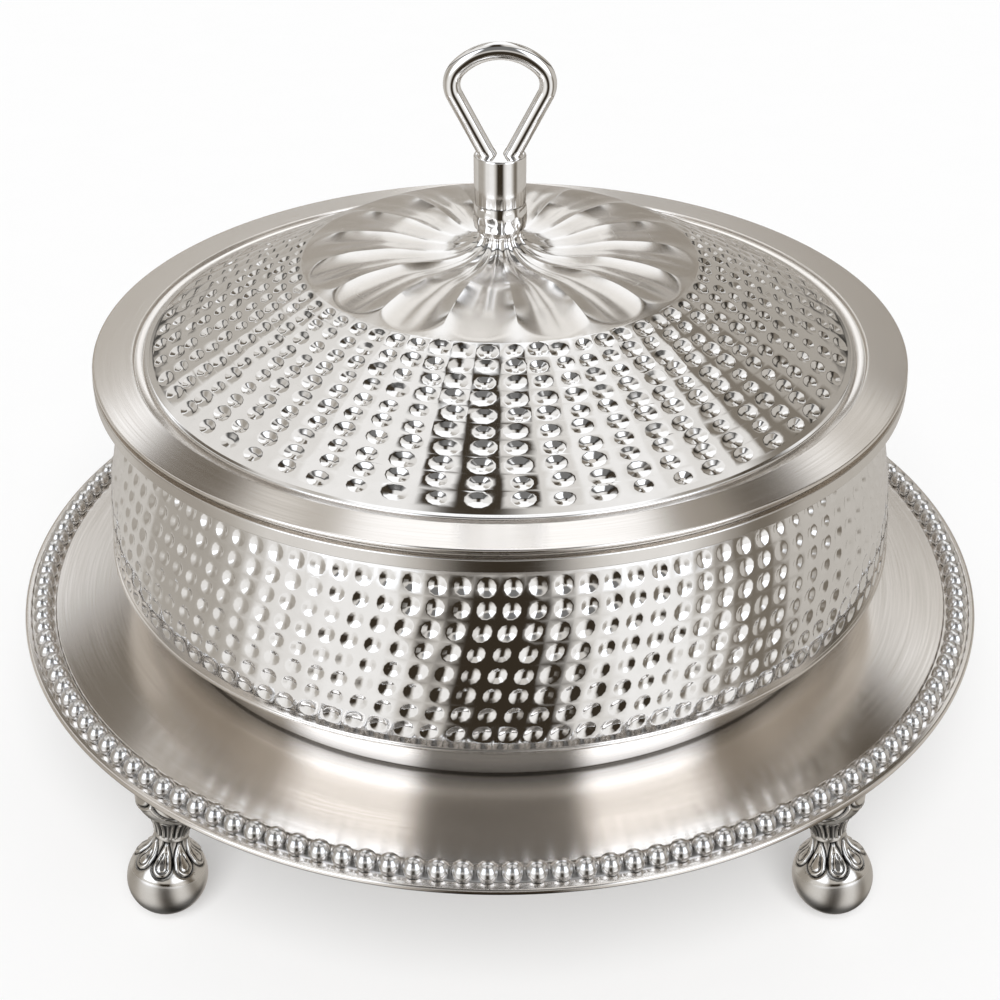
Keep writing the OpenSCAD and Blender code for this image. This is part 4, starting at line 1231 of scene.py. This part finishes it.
class DISH_OT_stage(bpy.types.Operator):
    """Makes the floor, the white studio round the object and the camera"""

    bl_idname = "serving_dish.stage"
    bl_label = "Stage"

    def execute(self, context):
        self.lay_floor(context)
        self.light_room(context)
        self.hang_tent(context)
        camera = bpy.data.objects.new("camera", bpy.data.cameras.new("camera"))
        context.scene.collection.objects.link(camera)
        camera.data.lens = 54.93
        camera.data.sensor_width = 36
        camera.location = tuple(CAMERA_AT)
        camera.rotation_euler = (math.pi / 2 - math.atan2(TO_CAMERA[2], -TO_CAMERA[1]), 0, 0)
        context.scene.camera = camera
        context.scene.view_settings.view_transform = "Standard"
        return {"FINISHED"}

    def lay_floor(self, context):
        """White board, lifted towards white for the camera and left out of reflections."""
        mesh = bpy.data.meshes.new("floor")
        corners = [(x * FLOOR_HALF, y * FLOOR_HALF, 0) for x, y in ((-1, -1), (1, -1), (1, 1), (-1, 1))]
        mesh.from_pydata(corners, [], [(0, 1, 2, 3)])
        floor = bpy.data.objects.new("floor", mesh)
        context.scene.collection.objects.link(floor)
        material, tree = start_material("matt white board")
        spot = add(tree, "ShaderNodeTexCoord")["Object"]
        grain = noise(tree, spot, 40 * MM, 2.0)
        tint = blend(tree, grain, linear("#FAFAFA"), context.scene.serving_dish.floor_colour)
        board = add(tree, "ShaderNodeBsdfDiffuse", {"Color": tint})[0]
        white = add(tree, "ShaderNodeEmission", {"Color": (1, 1, 1, 1), "Strength": 1.0})[0]
        seen = add(tree, "ShaderNodeLightPath")["Is Camera Ray"]
        share = calc(tree, "MULTIPLY", seen, 0.3)
        board = add(tree, "ShaderNodeMixShader", (share, board, white))[0]
        add(tree, "ShaderNodeOutputMaterial", {"Surface": board})
        mesh.materials.append(material)
        floor.visible_glossy = False

    def light_room(self, context):
        """White light from all round and a large soft box over the front, which only the floor shows."""
        world = bpy.data.worlds.new("white studio")
        context.scene.world = world
        world.use_nodes = True
        tree = world.node_tree
        tree.nodes.clear()
        path = add(tree, "ShaderNodeLightPath")
        seen = calc(tree, "MAXIMUM", path["Is Camera Ray"], path["Is Glossy Ray"])
        power = calc(tree, "MULTIPLY_ADD", seen, 0.6, 0.4)
        room = add(tree, "ShaderNodeBackground", {"Color": (1, 1, 1, 1), "Strength": power})[0]
        add(tree, "ShaderNodeOutputWorld", {"Surface": room})
        lamp = bpy.data.lights.new("soft box", "SUN")
        lamp.energy = 2.7
        lamp.angle = math.radians(45)
        box = bpy.data.objects.new("soft box", lamp)
        context.scene.collection.objects.link(box)
        box.rotation_euler = (math.radians(42), 0, 0)
        box.visible_glossy = False

    def hang_tent(self, context):
        """Cloth tent that only reflections see: soft boxes, plain cloth and dark gaps in four rings."""
        mesh = bpy.data.meshes.new("tent")
        work = bmesh.new()
        bmesh.ops.create_uvsphere(work, u_segments=64, v_segments=32, radius=TENT_R)
        work.to_mesh(mesh)
        work.free()
        tent = bpy.data.objects.new("tent", mesh)
        context.scene.collection.objects.link(tent)
        tent.visible_camera = tent.visible_diffuse = tent.visible_shadow = False
        material, tree = start_material("tent cloth and soft boxes")
        aim = add(tree, "ShaderNodeTexCoord")["Object"]
        aim = vector(tree, "NORMALIZE", aim)
        face = vector(tree, "ADD", aim, tuple(TO_CAMERA))
        away = vector(tree, "LENGTH", face)
        face = vector(tree, "NORMALIZE", face)
        x, y, z = add(tree, "ShaderNodeSeparateXYZ", (face,))
        y = calc(tree, "MULTIPLY", y, -1.0)
        side = calc(tree, "ARCTAN2", x, y)
        # The top boxes fan out from a point a little behind the middle
        reach = calc(tree, "ADD", y, 0.22)
        fan = calc(tree, "ARCTAN2", x, reach)
        reach = calc(tree, "COSINE", fan)
        reach = calc(tree, "MULTIPLY_ADD", reach, 0.27, y)
        fan = calc(tree, "ARCTAN2", x, reach)
        rings = []
        for panels, turn, soft in zip(TENT_RINGS, (fan, side, side, side), TENT_SOFT):
            turn = calc(tree, "MULTIPLY_ADD", turn, 1 / (2 * math.pi), 0.5)
            node = tree.nodes.new("ShaderNodeValToRGB")
            tree.links.new(turn, node.inputs["Fac"])
            hang_panels(node.color_ramp, panels, soft)
            rings.append(node.outputs["Color"])
        across = calc(tree, "ABSOLUTE", side)
        step = {}
        for part, (start, end) in TENT_STEPS.items():
            measure = {"card width": across, "back": away}.get(part, z)
            step[part] = add(tree, "ShaderNodeMapRange", {
                "Value": measure, "From Min": start, "From Max": end}, interpolation_type="SMOOTHSTEP")[0]
        cloth = rings[0]
        for part, below in zip(("top ring", "upper ring", "middle ring"), rings[1:]):
            cloth = blend(tree, step[part], below, cloth)
        # Dark gaps: between the side boxes and the top boxes, and under the tent's lower edge
        gap = calc(tree, "ADD", step["over the gap"], step["under the gap"], use_clamp=True)
        gap = calc(tree, "MULTIPLY", gap, step["lower edge"])
        gap = spread(tree, gap, 0.12, 1.0)
        cloth = blend(tree, gap, (0, 0, 0, 1), cloth)
        # A grey card in front, shown by faces that lean about halfway back
        card = step["card width"]
        for part in ("card foot", "card top"):
            card = calc(tree, "MULTIPLY", card, step[part])
        cloth = blend(tree, card, cloth, (0.2, 0.2, 0.2, 1))
        # Plain cloth behind the object, where the rings run together
        cloth = blend(tree, step["back"], (0.55, 0.52, 0.49, 1), cloth)
        glow = add(tree, "ShaderNodeEmission", {"Color": cloth, "Strength": 1.0})[0]
        add(tree, "ShaderNodeOutputMaterial", {"Surface": glow})
        mesh.materials.append(material)


def hang_panels(ramp, panels, soft):
    """Sets a ramp's stops so that neighbouring panels meet in a soft edge."""
    stops = [(0.0, panels[0][1])]
    for (end, level), (_, after) in zip(panels, panels[1:]):
        stops += [((end - soft + 180) / 360, level), ((end + soft + 180) / 360, after)]
    while len(ramp.elements) < len(stops):
        ramp.elements.new(0.5)
    for element, (spot, level) in zip(ramp.elements, stops):
        element.position = spot
        # White cloth, warmer where less light falls on it
        element.color = (level, level ** 1.08, level ** 1.2, 1)


# Add-on


class DISH_PT_panel(bpy.types.Panel):
    """Lists the pieces of the serving dish"""

    bl_idname = "DISH_PT_panel"
    bl_label = "Serving dish"
    bl_space_type = "VIEW_3D"
    bl_region_type = "UI"
    bl_category = "Serving dish"

    def draw(self, context):
        look = context.scene.serving_dish
        for name in ServingDishSettings.__annotations__:
            self.layout.prop(look, name)
        for maker in MAKERS:
            self.layout.operator(maker.bl_idname)


MAKERS = (DISH_OT_tray, DISH_OT_beads, DISH_OT_feet, DISH_OT_jacket, DISH_OT_pan, DISH_OT_dome, DISH_OT_brim,
          DISH_OT_handle, DISH_OT_stage)


def register():
    for one in (ServingDishSettings, *MAKERS, DISH_PT_panel):
        bpy.utils.register_class(one)
    bpy.types.Scene.serving_dish = bpy.props.PointerProperty(type=ServingDishSettings)


def unregister():
    del bpy.types.Scene.serving_dish
    for one in (DISH_PT_panel, *reversed(MAKERS), ServingDishSettings):
        bpy.utils.unregister_class(one)


def main():
    register()
    bpy.ops.serving_dish.tray()
    bpy.ops.serving_dish.beads()
    bpy.ops.serving_dish.feet()
    bpy.ops.serving_dish.jacket()
    bpy.ops.serving_dish.pan()
    bpy.ops.serving_dish.dome()
    bpy.ops.serving_dish.brim()
    bpy.ops.serving_dish.handle()
    bpy.ops.serving_dish.stage()


if __name__ == "__main__":
    main()
